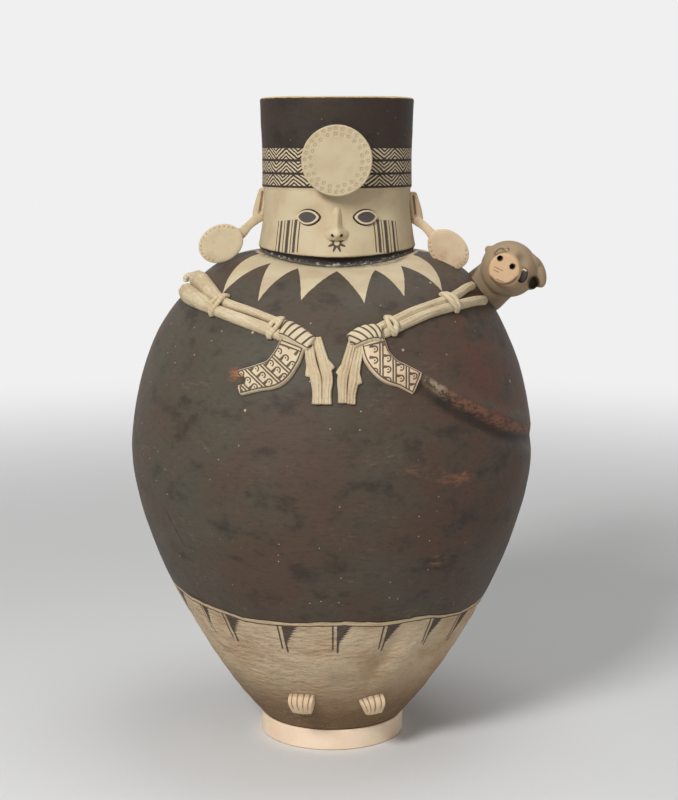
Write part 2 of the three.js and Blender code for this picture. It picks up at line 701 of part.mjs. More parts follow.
// Offsets from the rump and the tail's radius there
const TAIL_STOPS = [[1, -9, 1, 3.5], [-6, -3, 4.2, 2.6], [-11.5, -1, 2.4, 2.4], [-12, -1, -2.6, 2.6]];

function tail() {
  const [angle, height] = HIND.upper[0];
  const rump = jarSkin(angle, height);
  const stops = TAIL_STOPS.map(([x, y, z, radius]) => (
    { at: rump.clone().add(new THREE.Vector3(x, y, z)), radius }));
  return without(roll(stops, { steps: 6, sides: 8 }), SHOULDER_CUTTER, legSolid(HIND.upper, SEAT_GAP));
}

// Head of the animal. Its neck stands on the wall, and places on the head are measured
// from its centre along the axes of the jar; ANIMAL_ROLL tips what is set there.
const ANIMAL_FOOT = jarSkin(90, SHOULDER_HEIGHT - 35);
const ANIMAL_REACH = new THREE.Vector3(20.3, -38, 24.3);
const ANIMAL_CENTRE = ANIMAL_FOOT.clone().add(ANIMAL_REACH);
const ANIMAL_ROLL = 38;
const SNOUT_REACH = 37;

function onAnimal(x, y, z, roll = ANIMAL_ROLL) {
  return new THREE.Matrix4().makeTranslation(ANIMAL_CENTRE)
    .multiply(new THREE.Matrix4().makeTranslation(x, y, z))
    .multiply(new THREE.Matrix4().makeRotationY(THREE.MathUtils.degToRad(roll)));
}

function ball(place, x, y, z) {
  const sphere = new THREE.SphereGeometry(1, 14, 9);
  return placed(sphere, place.multiply(new THREE.Matrix4().makeScale(x, y, z)));
}

function cranium(grow = 0) {
  const radius = ANIMAL_HEAD_RADIUS + grow;
  return ball(onAnimal(0, 0, 0), radius * 1.02, radius * 1.04, radius);
}

function snoutRaw(grow = 0) {
  const reach = new THREE.Vector3(-8.5, -SNOUT_REACH, 2);
  const along = (share) => reach.clone().multiplyScalar(share).add(ANIMAL_CENTRE);
  const stops = [
    { at: along(0.3), radius: SNOUT_RADIUS + 3 },
    { at: along(0.6), radius: SNOUT_RADIUS + 1.5 },
    { at: along(0.92), radius: SNOUT_RADIUS + 0.3 },
    { at: along(1), radius: SNOUT_RADIUS - 2 },
  ];
  return roll(stops, { steps: 6, sides: 16, grow, facing: new THREE.Vector3(0, 0, 1) });
}

function animalNeck(grow = 0) {
  return roll([
    { at: ANIMAL_FOOT, radius: ANIMAL_NECK_RADIUS + 2 },
    { at: ANIMAL_FOOT.clone().lerp(ANIMAL_CENTRE, 0.4), radius: ANIMAL_NECK_RADIUS },
    { at: ANIMAL_CENTRE, radius: ANIMAL_NECK_RADIUS },
  ], { steps: 4, sides: 14, grow });
}

function headAndNeck(grow = 0) {
  return cranium(grow).add(animalNeck(grow));
}

function animalHead() {
  return without(headAndNeck(), SHOULDER_CUTTER,
    legSolid(FORE.upper, SEAT_GAP), legSolid(FORE.lower, SEAT_GAP));
}

function animalSnout() {
  const nostrils = [[-12, 12.5], [-0.5, 5]].map(([x, z]) => {
    const pit = new THREE.CylinderGeometry(SNOUT_NOSTRIL_RADIUS, SNOUT_NOSTRIL_RADIUS, 10, 8);
    return placed(pit, onAnimal(x, -SNOUT_REACH, z));
  });
  return without(snoutRaw(), headAndNeck(SEAT_GAP), ...nostrils);
}

function animalEyes() {
  const solid = headAndNeck(SEAT_GAP).add(snoutRaw(SEAT_GAP));
  return {
    left: without(ball(onAnimal(-8, -17, 19), 6, 5, 4), solid),
    right: without(ball(onAnimal(11.5, -20, -3, 22), 5.5, 5.5, 8), solid),
  };
}

function animalEars() {
  const solid = headAndNeck(SEAT_GAP);
  const leaf = ball(onAnimal(27, -2, -2.5, -20), 8.5, 7.5, 16.5);
  const bowl = ball(onAnimal(26.5, -8, -11.5, -20), 6, 8, 8.5);
  return {
    left: without(ball(onAnimal(-19.5, 2, 18.5), 4, 4, 4), solid),
    right: without(leaf, bowl, solid, SHOULDER_CUTTER),
  };
}

// Finishes
const SLIPS = {
  blackSlip: { color: 0x3a3232, roughness: 0.75, metalness: 0 },
  creamSlip: { color: 0xcdbf9f, roughness: 0.85, metalness: 0 },
  pinkCream: { color: 0xd8b89a, roughness: 0.8, metalness: 0 },
  standRing: { color: 0xe2bf9f, roughness: 0.6, metalness: 0 },
};

function meshOf(name, solid, slip) {
  const result = solid.getMesh();
  const geometry = new THREE.BufferGeometry();
  const places = new Float32Array(result.numVert * 3);
  for (let i = 0; i < result.numVert; i++) {
    for (let k = 0; k < 3; k++) places[i * 3 + k] = result.vertProperties[i * result.numProp + k];
  }
  geometry.setAttribute('position', new THREE.BufferAttribute(places, 3));
  geometry.setIndex(new THREE.BufferAttribute(new Uint32Array(result.triVerts), 1));
  geometry.computeVertexNormals();
  const mesh = new THREE.Mesh(geometry, new THREE.MeshStandardMaterial(SLIPS[slip]));
  mesh.name = name;
  return mesh;
}

// Assembly

function sideRelief(legs, hand, sleeve, names) {
  const [upperLeg, lowerLeg, outerTie, innerTie, handName, sleeveName, outerHoof, innerHoof] = names;
  const handGrown = handSolid(hand, SEAT_GAP);
  const upperGrown = legSolid(legs.upper, SEAT_GAP);
  const lowerGrown = legSolid(legs.lower, SEAT_GAP);
  const tieOf = (name) => tie(TIES[name]);
  const pieces = {
    [handName]: without(handSolid(hand), SHOULDER_CUTTER),
    [upperLeg]: without(legSolid(legs.upper), SHOULDER_CUTTER, handGrown),
    [lowerLeg]: without(legSolid(legs.lower), SHOULDER_CUTTER, handGrown, upperGrown),
    [outerTie]: without(tieOf(outerTie), SHOULDER_CUTTER, upperGrown, lowerGrown),
    [innerTie]: without(tieOf(innerTie), SHOULDER_CUTTER, upperGrown, lowerGrown, handGrown),
    [sleeveName]: without(sleeveSolid(sleeve), SHOULDER_CUTTER, handGrown, lowerGrown),
  };
  const sleeveGrown = sleeveSolid(sleeve, SEAT_GAP);
  const innerGrown = hoofSolid(HOOVES[innerHoof], SEAT_GAP);
  pieces[innerHoof] = without(hoofSolid(HOOVES[innerHoof]), SHOULDER_CUTTER, handGrown, sleeveGrown);
  pieces[outerHoof] = without(
    hoofSolid(HOOVES[outerHoof]), SHOULDER_CUTTER, handGrown, sleeveGrown, innerGrown);
  return pieces;
}

const hindSide = sideRelief(HIND, LEFT_HAND, LEFT_SLEEVE, [
  'hind_leg_upper', 'hind_leg_lower', 'hind_tie_outer', 'hind_tie_inner',
  'hand_left', 'sleeve_left', 'hind_hoof_outer', 'hind_hoof_inner']);
hindSide.sleeve_left = without(hindSide.sleeve_left, sleeveChip());
const foreSide = sideRelief(FORE, RIGHT_HAND, RIGHT_SLEEVE, [
  'fore_leg_upper', 'fore_leg_lower', 'fore_tie_outer', 'fore_tie_inner',
  'hand_right', 'sleeve_right', 'fore_hoof_outer', 'fore_hoof_inner']);

const ANIMAL_EYES = animalEyes();
const ANIMAL_EARS = animalEars();

const vessel = new THREE.Group();
const stand = new THREE.Group();
const jar = new THREE.Group();
vessel.add(stand, jar);

stand.add(meshOf('display_ring', displayRing(), 'standRing'));
jar.add(meshOf('jar_body', jarBody(), 'blackSlip'));
jar.add(meshOf('neck_head', neckHead(), 'creamSlip'));
jar.add(meshOf('hat_disc', hatDisc(), 'creamSlip'));
jar.add(meshOf('hat_disc_peg', hatDiscPeg(), 'creamSlip'));
jar.add(meshOf('nose', nose(), 'creamSlip'));
for (const [side, sign] of [['left', -1], ['right', 1]]) {
  jar.add(meshOf(`eye_${side}`, eyePad(sign), 'creamSlip'));
  jar.add(meshOf(`ear_${side}`, earFlap(EARS[side]), 'pinkCream'));
  jar.add(meshOf(`ear_disc_${side}`, earDisc(EARS[side]), 'pinkCream'));
  jar.add(meshOf(`animal_eye_${side}`, ANIMAL_EYES[side], 'blackSlip'));
  jar.add(meshOf(`animal_ear_${side}`, ANIMAL_EARS[side], 'creamSlip'));
}
jar.add(meshOf('animal_head', animalHead(), 'creamSlip'));
jar.add(meshOf('animal_snout', animalSnout(), 'pinkCream'));
jar.add(meshOf('tail', tail(), 'creamSlip'));
for (const [name, solid] of Object.entries({ ...hindSide, ...foreSide })) {
  jar.add(meshOf(name, solid, 'creamSlip'));
}
jar.add(meshOf('foot_left', footSolid(LEFT_FOOT), 'pinkCream'));
jar.add(meshOf('foot_right', footSolid(RIGHT_FOOT), 'pinkCream'));

export default vessel;
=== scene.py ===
"""Looks of a figural clay jar on its display ring.

A thin walled, egg shaped jar whose neck is a head in a tall banded hat. A small animal is
carried round its shoulders, with the legs held in two fists. Sizes are in millimetres until a
mesh is settled, and angles are in degrees, counted from the front (-Y) towards +X.
"""

import logging
from bisect import bisect_left
from dataclasses import dataclass, field
from enum import Enum
from functools import reduce
from math import atan2, copysign, cos, degrees, exp, hypot, pi, radians, sin, sqrt, tan, tau
from operator import or_
from typing import Any, Callable, Iterable, Sequence

import bmesh
import bpy
from mathutils import Matrix, Vector, noise


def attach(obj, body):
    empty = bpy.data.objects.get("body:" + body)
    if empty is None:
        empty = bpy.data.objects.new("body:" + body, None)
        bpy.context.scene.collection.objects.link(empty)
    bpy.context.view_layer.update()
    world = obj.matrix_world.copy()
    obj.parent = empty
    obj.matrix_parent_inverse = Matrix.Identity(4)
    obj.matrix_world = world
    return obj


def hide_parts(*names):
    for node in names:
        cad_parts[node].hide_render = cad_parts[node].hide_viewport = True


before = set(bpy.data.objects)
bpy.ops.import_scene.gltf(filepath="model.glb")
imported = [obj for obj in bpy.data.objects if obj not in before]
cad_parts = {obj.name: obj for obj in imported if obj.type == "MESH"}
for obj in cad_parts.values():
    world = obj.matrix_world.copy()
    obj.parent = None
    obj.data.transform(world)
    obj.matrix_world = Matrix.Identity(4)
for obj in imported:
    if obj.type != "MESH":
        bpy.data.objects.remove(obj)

log = logging.getLogger("figural_jar")

MM = 0.001
FULL_TURN = 360.0

Colour = tuple[float, float, float, float]
Triple = tuple[float, float, float]
Pairs = Sequence[tuple[float, float]]
Outline = list[tuple[float, float]]
Stops = Sequence[Triple]
Quads = Sequence[tuple[float, float, float, float]]
Mesh = bmesh.types.BMesh
Material = bpy.types.Material
Link = bpy.types.NodeSocket
Place = Callable[[float, float], Vector]
Move = Callable[[Vector, Vector], Vector]


class Body(Enum):
    """The bodies that the pieces ride on."""

    STAND = "stand"
    JAR = "jar"


class Slot(Enum):
    """The material slots of the record."""

    RING = "stand_ring"
    BLACK = "black_slip"
    CREAM = "cream_slip"
    PINK = "pink_cream_slip"


class Side(Enum):
    """Left and right as seen from the front."""

    LEFT = -1
    RIGHT = 1

    @property
    def word(self) -> str:
        """The side's name in a piece's name."""
        return self.name.lower()


# Numbers


def clamp(value: float, low: float = 0.0, high: float = 1.0) -> float:
    """Keeps a value between two limits."""
    return max(low, min(high, value))


def lerp(start: float, end: float, share: float) -> float:
    """The value at a share of the way from start to end."""
    return start + (end - start) * share


def smoothstep(value: float, low: float, high: float) -> float:
    """A soft step from 0 at low to 1 at high."""
    share = clamp((value - low) / (high - low))
    return share * share * (3 - 2 * share)


def bell(value: float, spread: float) -> float:
    """A bell of height 1 around zero."""
    return exp(-0.5 * (value / spread) ** 2)


def apart(angle: float, other: float) -> float:
    """The signed turn from one angle to another, the short way round."""
    return (angle - other + 180) % FULL_TURN - 180


def polar(angle: float, radius: float, height: float) -> Vector:
    """The point at an angle, a radius and a height."""
    turn = radians(angle)
    return Vector((radius * sin(turn), -radius * cos(turn), height))


def angle_of(point: Vector) -> float:
    """The angle of a point about the jar's axis."""
    return degrees(atan2(point.x, -point.y))


def round_curve(stops: Pairs, angle: float) -> float:
    """Reads a curve that closes round the jar.

    Args:
        stops: (angle, value) pairs in rising order of angle, within one turn.
        angle: Where to read it.

    Returns:
        The value there, eased between its neighbours.
    """
    first = stops[0][0]
    turned = (angle - first) % FULL_TURN + first
    places = [*stops, (first + FULL_TURN, stops[0][1])]
    for (low, before), (high, after) in zip(places, places[1:]):
        if turned <= high:
            return lerp(before, after, smoothstep(turned, low, high))
    return stops[0][1]


def line_curve(stops: Pairs, value: float) -> float:
    """Reads a curve of straight stretches, level past both its ends.

    Args:
        stops: (place, value) pairs in rising order of place.
        value: Where to read it.

    Returns:
        The value there.
    """
    if value <= stops[0][0]:
        return stops[0][1]
    for (low, before), (high, after) in zip(stops, stops[1:]):
        if value <= high:
            return lerp(before, after, (value - low) / (high - low))
    return stops[-1][1]


def spline(points: Sequence[Vector], share: float) -> Vector:
    """A point of a smooth curve through points.

    Args:
        points: The points that the curve passes.
        share: How far along, from 0 to 1.

    Returns:
        The curve's point there.
    """
    at = clamp(share) * (len(points) - 1)
    here = min(int(at), len(points) - 2)
    t = at - here
    first, last = points[here], points[here + 1]
    before = points[here - 1] if here else first * 2 - last
    after = points[here + 2] if here + 2 < len(points) else last * 2 - first
    return 0.5 * (
        first * 2
        + (last - before) * t
        + (before * 2 - first * 5 + last * 4 - after) * t * t
        + (first * 3 - before - last * 3 + after) * t * t * t
    )


def bezier(points: Pairs, steps: int) -> Outline:
    """Points of a Bezier curve in the plane, both ends included.

    Args:
        points: Its control points.
        steps: How many steps it is cut into.

    Returns:
        Its points.
    """
    result = []
    for i in range(steps + 1):
        level = [Vector(p) for p in points]
        while len(level) > 1:
            level = [a.lerp(b, i / steps) for a, b in zip(level, level[1:])]
        result.append((level[0].x, level[0].y))
    return result


# Walls of the jar and its neck


@dataclass(frozen=True)
class Press:
    """A dent or fold pressed into the soft wall; outwards is positive."""

    angle: float
    height: float
    along: float
    across: float
    tilt: float
    push: float

    def at(self, angle: float, radius: float, height: float) -> float:
        """How far it moves the wall at a place.

        Args:
            angle: The place's angle.
            radius: The wall's radius there.
            height: The place's height.

        Returns:
            The way outwards in millimetres.
        """
        around = radians(apart(angle, self.angle)) * radius
        rise = height - self.height
        tilt = radians(self.tilt)
        along = (around * cos(tilt) + rise * sin(tilt)) / self.along
        across = (rise * cos(tilt) - around * sin(tilt)) / self.across
        return self.push * exp(-0.5 * (along * along + across * across))


@dataclass(frozen=True)
class Saddle:
    """The seam of shoulder and neck, which dips at the front."""

    rise: float = 5.5
    drop: float = 5.5
    lean: float = 5.0

    def at(self, angle: float) -> float:
        """The seam's lift at an angle."""
        front = max(0.0, cos(radians(angle)))
        return self.rise - (self.rise + self.drop) * front * front


@dataclass
class Wall:
    """A wall that clay can be laid on: its outline, and where the hand has moved it."""

    saddle: Saddle = field(default_factory=Saddle)
    presses: tuple[Any, ...] = ()

    def outline(self) -> Outline:
        """The outside's (radius, height) pairs from the bottom up."""
        raise NotImplementedError

    def form(self, angle: float, radius: float, height: float) -> Vector:
        """Where a point of the outline lies on the finished wall.

        Args:
            angle: The point's angle.
            radius: Its radius.
            height: Its height.

        Returns:
            The point, moved by the presses and the seam.
        """
        raise NotImplementedError

    def radius_at(self, height: float) -> float:
        """The outline's radius at a height.

        Args:
            height: The height.

        Returns:
            The radius there.
        """
        if not hasattr(self, "_outline"):
            self._outline = self.outline()
            self._heights = [h for _, h in self._outline]
        at = clamp(bisect_left(self._heights, height), 1, len(self._heights) - 1)
        (r0, h0), (r1, h1) = self._outline[at - 1], self._outline[at]
        return lerp(r0, r1, clamp((height - h0) / (h1 - h0)))

    def skin(self, angle: float, height: float) -> Vector:
        """A point of the outer wall."""
        return self.form(angle, self.radius_at(height), height)

    def outward(self, angle: float, height: float) -> Vector:
        """The direction that the wall faces at a place."""
        small = 0.5
        around = self.skin(angle + small, height) - self.skin(angle - small, height)
        rise = self.skin(angle, height + small) - self.skin(angle, height - small)
        return around.cross(rise).normalized()


@dataclass(frozen=True)
class Fold:
    """A crease where the upper wall has slumped a little over the lower one."""

    crease: Pairs
    lip: float = 5.0
    groove: float = 5.4

    def above(self, angle: float, height: float) -> float:
        """How far a place is above the crease."""
        return height - line_curve(self.crease, apart(angle, 0))

    def strength(self, angle: float, none: float, full: float) -> float:
        """How strong it is at an angle, if it fades between two turns past its last stop."""
        first, last = self.crease[0][0], self.crease[-1][0]
        return smoothstep(apart(angle, first), -6, 10) * smoothstep(apart(angle, last), none, full)

    def at(self, angle: float, radius: float, height: float) -> float:
        """How far it moves the wall at a place; its crease doesn't depend on the radius.

        Args:
            angle: The place's angle.
            radius: The wall's radius there, as for a Press; not used.
            height: The place's height.

        Returns:
            The way outwards in millimetres.
        """
        above = self.above(angle, height)
        wide = lerp(5.0, 6.5, smoothstep(angle, 66, 80))
        lip = self.lip * bell(above - 10, 6.5) * self.strength(angle, 0, -16)
        return lip - self.groove * bell(above + 4, wide) * self.strength(angle, 14, -10)


FOLD = Fold(((24, 385), (37.2, 356.3), (53, 331.3), (61, 323.3), (83, 308)))
JAR_PRESSES = (
    FOLD,
    Press(47, 285, 40, 26, -20, -4),
    Press(52, 255, 36, 22, -50, 3),
    Press(-42, 318, 30, 44, 0, -2.5),
    Press(8, 190, 24, 50, 0, -2.5),
    Press(-28, 175, 22, 55, 0, 2),
    Press(22, 118, 24, 8, 60, -5.0),
    Press(33, 116, 22, 9, 62, 2.6),
    Press(-2, 112, 26, 18, 10, 3.4),
    Press(-16, 92, 20, 10, -15, -2.6),
    Press(8, 84, 30, 8, -8, -3.0),
    Press(-34, 120, 20, 12, -60, -3.2),
    Press(150, 240, 60, 50, 0, -2.5),
)


@dataclass
class JarWall(Wall):
    """The egg shaped wall between the ring and the neck."""

    presses: tuple[Any, ...] = JAR_PRESSES
    belly_radius: float = 200.2
    belly_height: float = 300.0
    base_radius: float = 66.5
    base_height: float = 19.0
    base_slope: float = 7.1
    lower_belly_pull: float = 114.3
    lower_base_pull: float = 17.1
    seam_radius: float = 78.0
    seam_height: float = 484.0
    shoulder_slope: float = 4.7
    upper_belly_pull: float = 20.3
    upper_shoulder_pull: float = 108.0

    def outline(self) -> Outline:
        """The outside from the edge of the base to the seam with the neck.

        Returns:
            Its (radius, height) pairs.
        """
        slope = radians(self.base_slope)
        shoulder = radians(-self.shoulder_slope)
        belly = (self.belly_radius, self.belly_height)
        lower = bezier([
            (self.base_radius, self.base_height),
            (self.base_radius + self.lower_base_pull * cos(slope),
             self.base_height + self.lower_base_pull * sin(slope)),
            (self.belly_radius, self.belly_height - self.lower_belly_pull),
            belly,
        ], 84)
        upper = bezier([
            belly,
            (self.belly_radius, self.belly_height + self.upper_belly_pull),
            (self.seam_radius + self.upper_shoulder_pull * cos(shoulder),
             self.seam_height + self.upper_shoulder_pull * sin(shoulder)),
            (self.seam_radius, self.seam_height),
        ], 84)
        return lower + upper[1:]

    def underside(self) -> Outline:
        """The slightly sagging underside, from its middle to the edge of the base."""
        sag = self.base_radius / 2 * tan(radians(self.base_slope))
        low = self.base_height - sag
        return bezier([(0, low), (self.base_radius / 2, low), (self.base_radius, self.base_height)], 8)

    def form(self, angle: float, radius: float, height: float) -> Vector:
        """The wall with its dents, its dipping seam and its leaning neck.

        Args:
            angle: A point's angle.
            radius: Its radius.
            height: Its height.

        Returns:
            Where it lies on the finished wall.
        """
        push = sum(p.at(angle, self.belly_radius, height) for p in self.presses)
        raised = smoothstep(height, self.seam_height - 44, self.seam_height)
        leant = smoothstep(height, self.seam_height - 84, self.seam_height)
        point = polar(angle, radius + push, height + raised * self.saddle.at(angle))
        point.x += self.saddle.lean * leant
        return point


@dataclass(frozen=True)
class Face:
    """A stylised face: brow, nose and chin in equal thirds, five eyes wide."""

    chin: float = 487.0
    hat_edge: float = 552.0
    eye_width: float = 28.0
    eye_tall: float = 16.0
    eye_proud: float = 3.2
    eye_angle: float = 22.5
    curve: float = 75.0
    nose_bridge: float = 8.0
    nose_wing: float = 19.0
    nose_proud: float = 11.0

    @property
    def third(self) -> float:
        """A third of the face's height."""
        return (self.hat_edge - self.chin) / 3

    @property
    def brow(self) -> float:
        """The brow's height."""
        return self.hat_edge - self.third

    @property
    def nose_base(self) -> float:
        """The height of the nose's base."""
        return self.brow - self.third

    @property
    def mouth(self) -> float:
        """The mouth's height."""
        return self.nose_base - self.third / 3

    @property
    def eye(self) -> float:
        """The eyes' height."""
        return self.brow - self.third / 4


FACE = Face()


@dataclass
class NeckWall(Wall):
    """The neck, with the head below and the hat above."""

    presses: tuple[Press, ...] = (
        Press(0, FACE.chin + 3, 15, 6, 0, 7),
        Press(0, FACE.mouth, 20, 8, 0, 1.5),
        Press(FACE.eye_angle, FACE.eye, 15, 9, 0, -2.5),
        Press(-FACE.eye_angle, FACE.eye, 15, 9, 0, -2.5),
        Press(0, FACE.brow + 8, 30, 5, 0, 1.5),
    )
    foot: float = 484.3
    rim: float = 638.0
    seam_radius: float = 78.0
    jaw_radius: float = 76.3
    temple_radius: float = 72.4
    hat_radius: float = 73.6
    rim_radius: float = 75.4
    jaw_groove: float = 2.6

    def outline(self) -> Outline:
        """The outside from the seam to just below the lip.

        Returns:
            Its (radius, height) pairs.
        """
        face = [Vector((r, h, 0)) for r, h in (
            (self.seam_radius, self.foot), (self.jaw_radius, FACE.chin + 9),
            (self.temple_radius, FACE.eye + 4), (self.temple_radius, FACE.hat_edge - 2))]
        hat = [Vector((r, h, 0)) for r, h in (
            (self.hat_radius, FACE.hat_edge), (self.hat_radius, FACE.hat_edge + 36),
            (self.rim_radius, self.rim - 3))]
        points = [spline(face, i / 60) for i in range(61)] + [spline(hat, i / 48) for i in range(49)]
        return [(p.x, p.y) for p in points]

    def jaw(self, angle: float) -> float:
        """The height of the jaw's lower edge."""
        front = max(0.0, cos(radians(angle)))
        return FACE.chin + 6 * (1 - front * front)

    def form(self, angle: float, radius: float, height: float) -> Vector:
        """The wall with its chin, brow and eye hollows, and its dipping seam.

        Args:
            angle: A point's angle.
            radius: Its radius.
            height: Its height.

        Returns:
            Where it lies on the finished wall.
        """
        push = sum(p.at(angle, self.temple_radius, height) for p in self.presses)
        level = smoothstep(height, self.foot + 1.7, FACE.mouth + 24)
        lifted = height + (1 - level) * self.saddle.at(angle)
        under = 1 - smoothstep(lifted, self.jaw(angle) - 2.5, self.jaw(angle) + 2.5)
        point = polar(angle, radius + push * (1 - under) - self.jaw_groove * under, lifted)
        point.x += self.saddle.lean
        return point


JAR_WALL = JarWall()
NECK_WALL = NeckWall()


# Shader maths


def node_maths(operation: str, *constants: float) -> Callable[..., "Socket"]:
    """Makes a method of Socket that adds one Math node.

    Args:
        operation: The node's operation.
        constants: Numbers that stand behind the method's own arguments.

    Returns:
        The method.
    """
    def method(self: "Socket", *others: Any) -> "Socket":
        """Adds the node."""
        return self.math(operation, *others, *constants)
    return method


class Socket:
    """A shader value; an expression on it adds the Math nodes that it needs.

    Of two masks, | gives the greater and & the lesser.
    """

    __add__ = __radd__ = node_maths("ADD")
    __sub__ = node_maths("SUBTRACT")
    __mul__ = __rmul__ = node_maths("MULTIPLY")
    __truediv__ = node_maths("DIVIDE")
    __neg__ = node_maths("MULTIPLY", -1.0)
    __abs__ = node_maths("ABSOLUTE")
    __or__ = node_maths("MAXIMUM")
    __and__ = node_maths("MINIMUM")
    floor = node_maths("FLOOR")
    fraction = node_maths("FRACT")

    def __init__(self, shader: "Shader", link: Link) -> None:
        """Wraps an output socket of a shader's node."""
        self.shader = shader
        self.link = link

    def math(self, operation: str, *others: Any) -> "Socket":
        """A Math node on this value and others."""
        inputs = dict(enumerate((self, *others)))
        return self.shader.value("ShaderNodeMath", {"operation": operation}, inputs)

    def __rsub__(self, other: Any) -> "Socket":
        """The difference with this value in second place."""
        return self.shader.value("ShaderNodeMath", {"operation": "SUBTRACT"}, {0: other, 1: self})

    def rises(self, low: float, high: float) -> "Socket":
        """A soft step from 0 at low to 1 at high."""
        settings = {"interpolation_type": "SMOOTHSTEP", "clamp": True}
        if low > high:
            return 1 - self.rises(high, low)
        return self.shader.value("ShaderNodeMapRange", settings, {0: self, 1: low, 2: high})

    def near(self, middle: Any, half: float, soft: float) -> "Socket":
        """A mask that is 1 within half of middle, with edges that are soft wide."""
        return abs(self - middle).rises(half + soft, half - soft)


def any_of(masks: Iterable[Socket]) -> Socket:
    """The greatest of several masks."""
    return reduce(or_, masks)


class Shader:
    """One material and its nodes."""

    def __init__(self, name: str) -> None:
        """Starts a material with a Principled shader.

        Args:
            name: The material's name.
        """
        self.material = bpy.data.materials.new(name)
        self.material.use_nodes = True
        self.tree = self.material.node_tree
        self.surface = self.tree.nodes["Principled BSDF"]
        self.place = self.node("ShaderNodeTexCoord").outputs["Object"]

    def node(self, kind: str, settings: dict[str, Any] | None = None,
             inputs: dict[Any, Any] | None = None) -> bpy.types.Node:
        """Adds a node.

        Args:
            kind: The node's type.
            settings: Its properties, set first.
            inputs: Values or links of its sockets, by name or number.

        Returns:
            The new node.
        """
        node = self.tree.nodes.new(kind)
        for key, setting in (settings or {}).items():
            setattr(node, key, setting)
        for key, given in (inputs or {}).items():
            self.feed(node.inputs[key], given)
        return node

    def feed(self, socket: Link, given: Any) -> None:
        """Links a socket, or sets its value.

        Args:
            socket: The input socket.
            given: A link, a shader value or a plain value.
        """
        if isinstance(given, Socket):
            given = given.link
        if isinstance(given, Link):
            self.tree.links.new(given, socket)
        else:
            socket.default_value = given

    def value(self, kind: str, settings: dict[str, Any] | None = None,
              inputs: dict[Any, Any] | None = None, output: Any = 0) -> Socket:
        """Adds a node and returns one of its outputs as a value."""
        return Socket(self, self.node(kind, settings, inputs).outputs[output])

    def __getitem__(self, name: str) -> Socket:
        """A value that the mesh carries."""
        return self.value("ShaderNodeAttribute", {"attribute_name": name}, output="Fac")

    def axes(self) -> tuple[Socket, Socket, Socket]:
        """The place along X, Y and Z in millimetres."""
        parts = self.node("ShaderNodeSeparateXYZ", None, {0: self.place})
        return tuple(Socket(self, out) * (1 / MM) for out in parts.outputs)

    def angle(self, x: Socket, y: Socket) -> Socket:
        """The angle from the front, in degrees."""
        return x.math("ARCTAN2", -y) * degrees(1)

    def noise(self, size: float, detail: float = 3.0, rough: float = 0.55,
              stretch: Triple = (1, 1, 1), seed: float = 0.0) -> Socket:
        """Noise between 0 and 1.

        Args:
            size: The size of its lumps.
            detail: How many finer layers it has.
            rough: How strong these are.
            stretch: How much longer the lumps are along X, Y and Z.
            seed: Moves the pattern.

        Returns:
            The noise value.
        """
        scale = tuple(1 / (MM * size * part) for part in stretch)
        scaled = self.node("ShaderNodeVectorMath", {"operation": "MULTIPLY_ADD"},
                           {0: self.place, 1: scale, 2: (seed, seed * 1.7, -seed)}).outputs[0]
        return self.value("ShaderNodeTexNoise", None, {
            "Vector": scaled, "Scale": 1.0, "Detail": detail, "Roughness": rough})

    def specks(self, size: float, spot: float, seed: float = 0.0) -> Socket:
        """A mask of scattered round specks, each up to spot of a cell wide.

        Args:
            size: How far apart the cells are.
            spot: A speck's share of a cell.
            seed: Moves the pattern.

        Returns:
            The mask.
        """
        scaled = self.node("ShaderNodeVectorMath", {"operation": "MULTIPLY_ADD"}, {
            0: self.place, 1: (1 / (MM * size),) * 3, 2: (seed, seed, seed)}).outputs[0]
        cells = self.node("ShaderNodeTexVoronoi", None, {"Vector": scaled, "Scale": 1.0})
        chosen = self.value("ShaderNodeSeparateColor", None, {0: cells.outputs["Color"]})
        near = Socket(self, cells.outputs["Distance"]) / spot
        return near.rises(1.0, 0.6) * chosen.rises(0.6, 0.7)

    def mix(self, share: Any, base: Any, over: Any) -> Link:
        """A colour part of the way from base to over."""
        return self.node("ShaderNodeMix", {"data_type": "RGBA"},
                         {0: share, 6: base, 7: over}).outputs[2]

    def layers(self, colour: Any, *coats: tuple[Any, Any]) -> Link:
        """A colour under coats, each a mask and the colour that it lays over."""
        for share, over in coats:
            colour = self.mix(share, colour, over)
        return colour

    def shade(self, colour: Any, share: Socket, deep: float) -> Link:
        """A colour times a grey that goes from 1 to deep with share."""
        return self.node("ShaderNodeMix", {"data_type": "RGBA", "blend_type": "MULTIPLY"},
                         {0: share, 6: colour, 7: (deep, deep, deep, 1)}).outputs[2]

    def finish(self, colour: Any, rough: Any, height: Socket | None = None,
               coat: float = 0.0) -> Material:
        """Feeds the shader.

        Args:
            colour: Base colour.
            rough: Roughness.
            height: Fine relief in millimetres.
            coat: Weight of a burnished sheen.

        Returns:
            The finished material.
        """
        self.feed(self.surface.inputs["Base Color"], colour)
        self.feed(self.surface.inputs["Roughness"], rough)
        self.surface.inputs["Specular IOR Level"].default_value = 0.22
        self.surface.inputs["Coat Weight"].default_value = coat
        self.surface.inputs["Coat Roughness"].default_value = 0.45
        if height is not None:
            bump = self.node("ShaderNodeBump", None, {
                "Strength": 1.0, "Distance": MM, "Height": height})
            self.feed(self.surface.inputs["Normal"], bump.outputs[0])
        return self.material


def paint(red: int, green: int, blue: int) -> Colour:
    """Makes a colour as a screen shows it linear.

    Args:
        red: Its red part, from 0 to 255.
        green: Its green part.
        blue: Its blue part.

    Returns:
        The linear colour.
    """
    def part(level: int) -> float:
        """One part of it, made linear."""
        share = level / 255
        return share / 12.92 if share <= 0.04045 else ((share + 0.055) / 1.055) ** 2.4
    return (part(red), part(green), part(blue), 1.0)


# Finishes


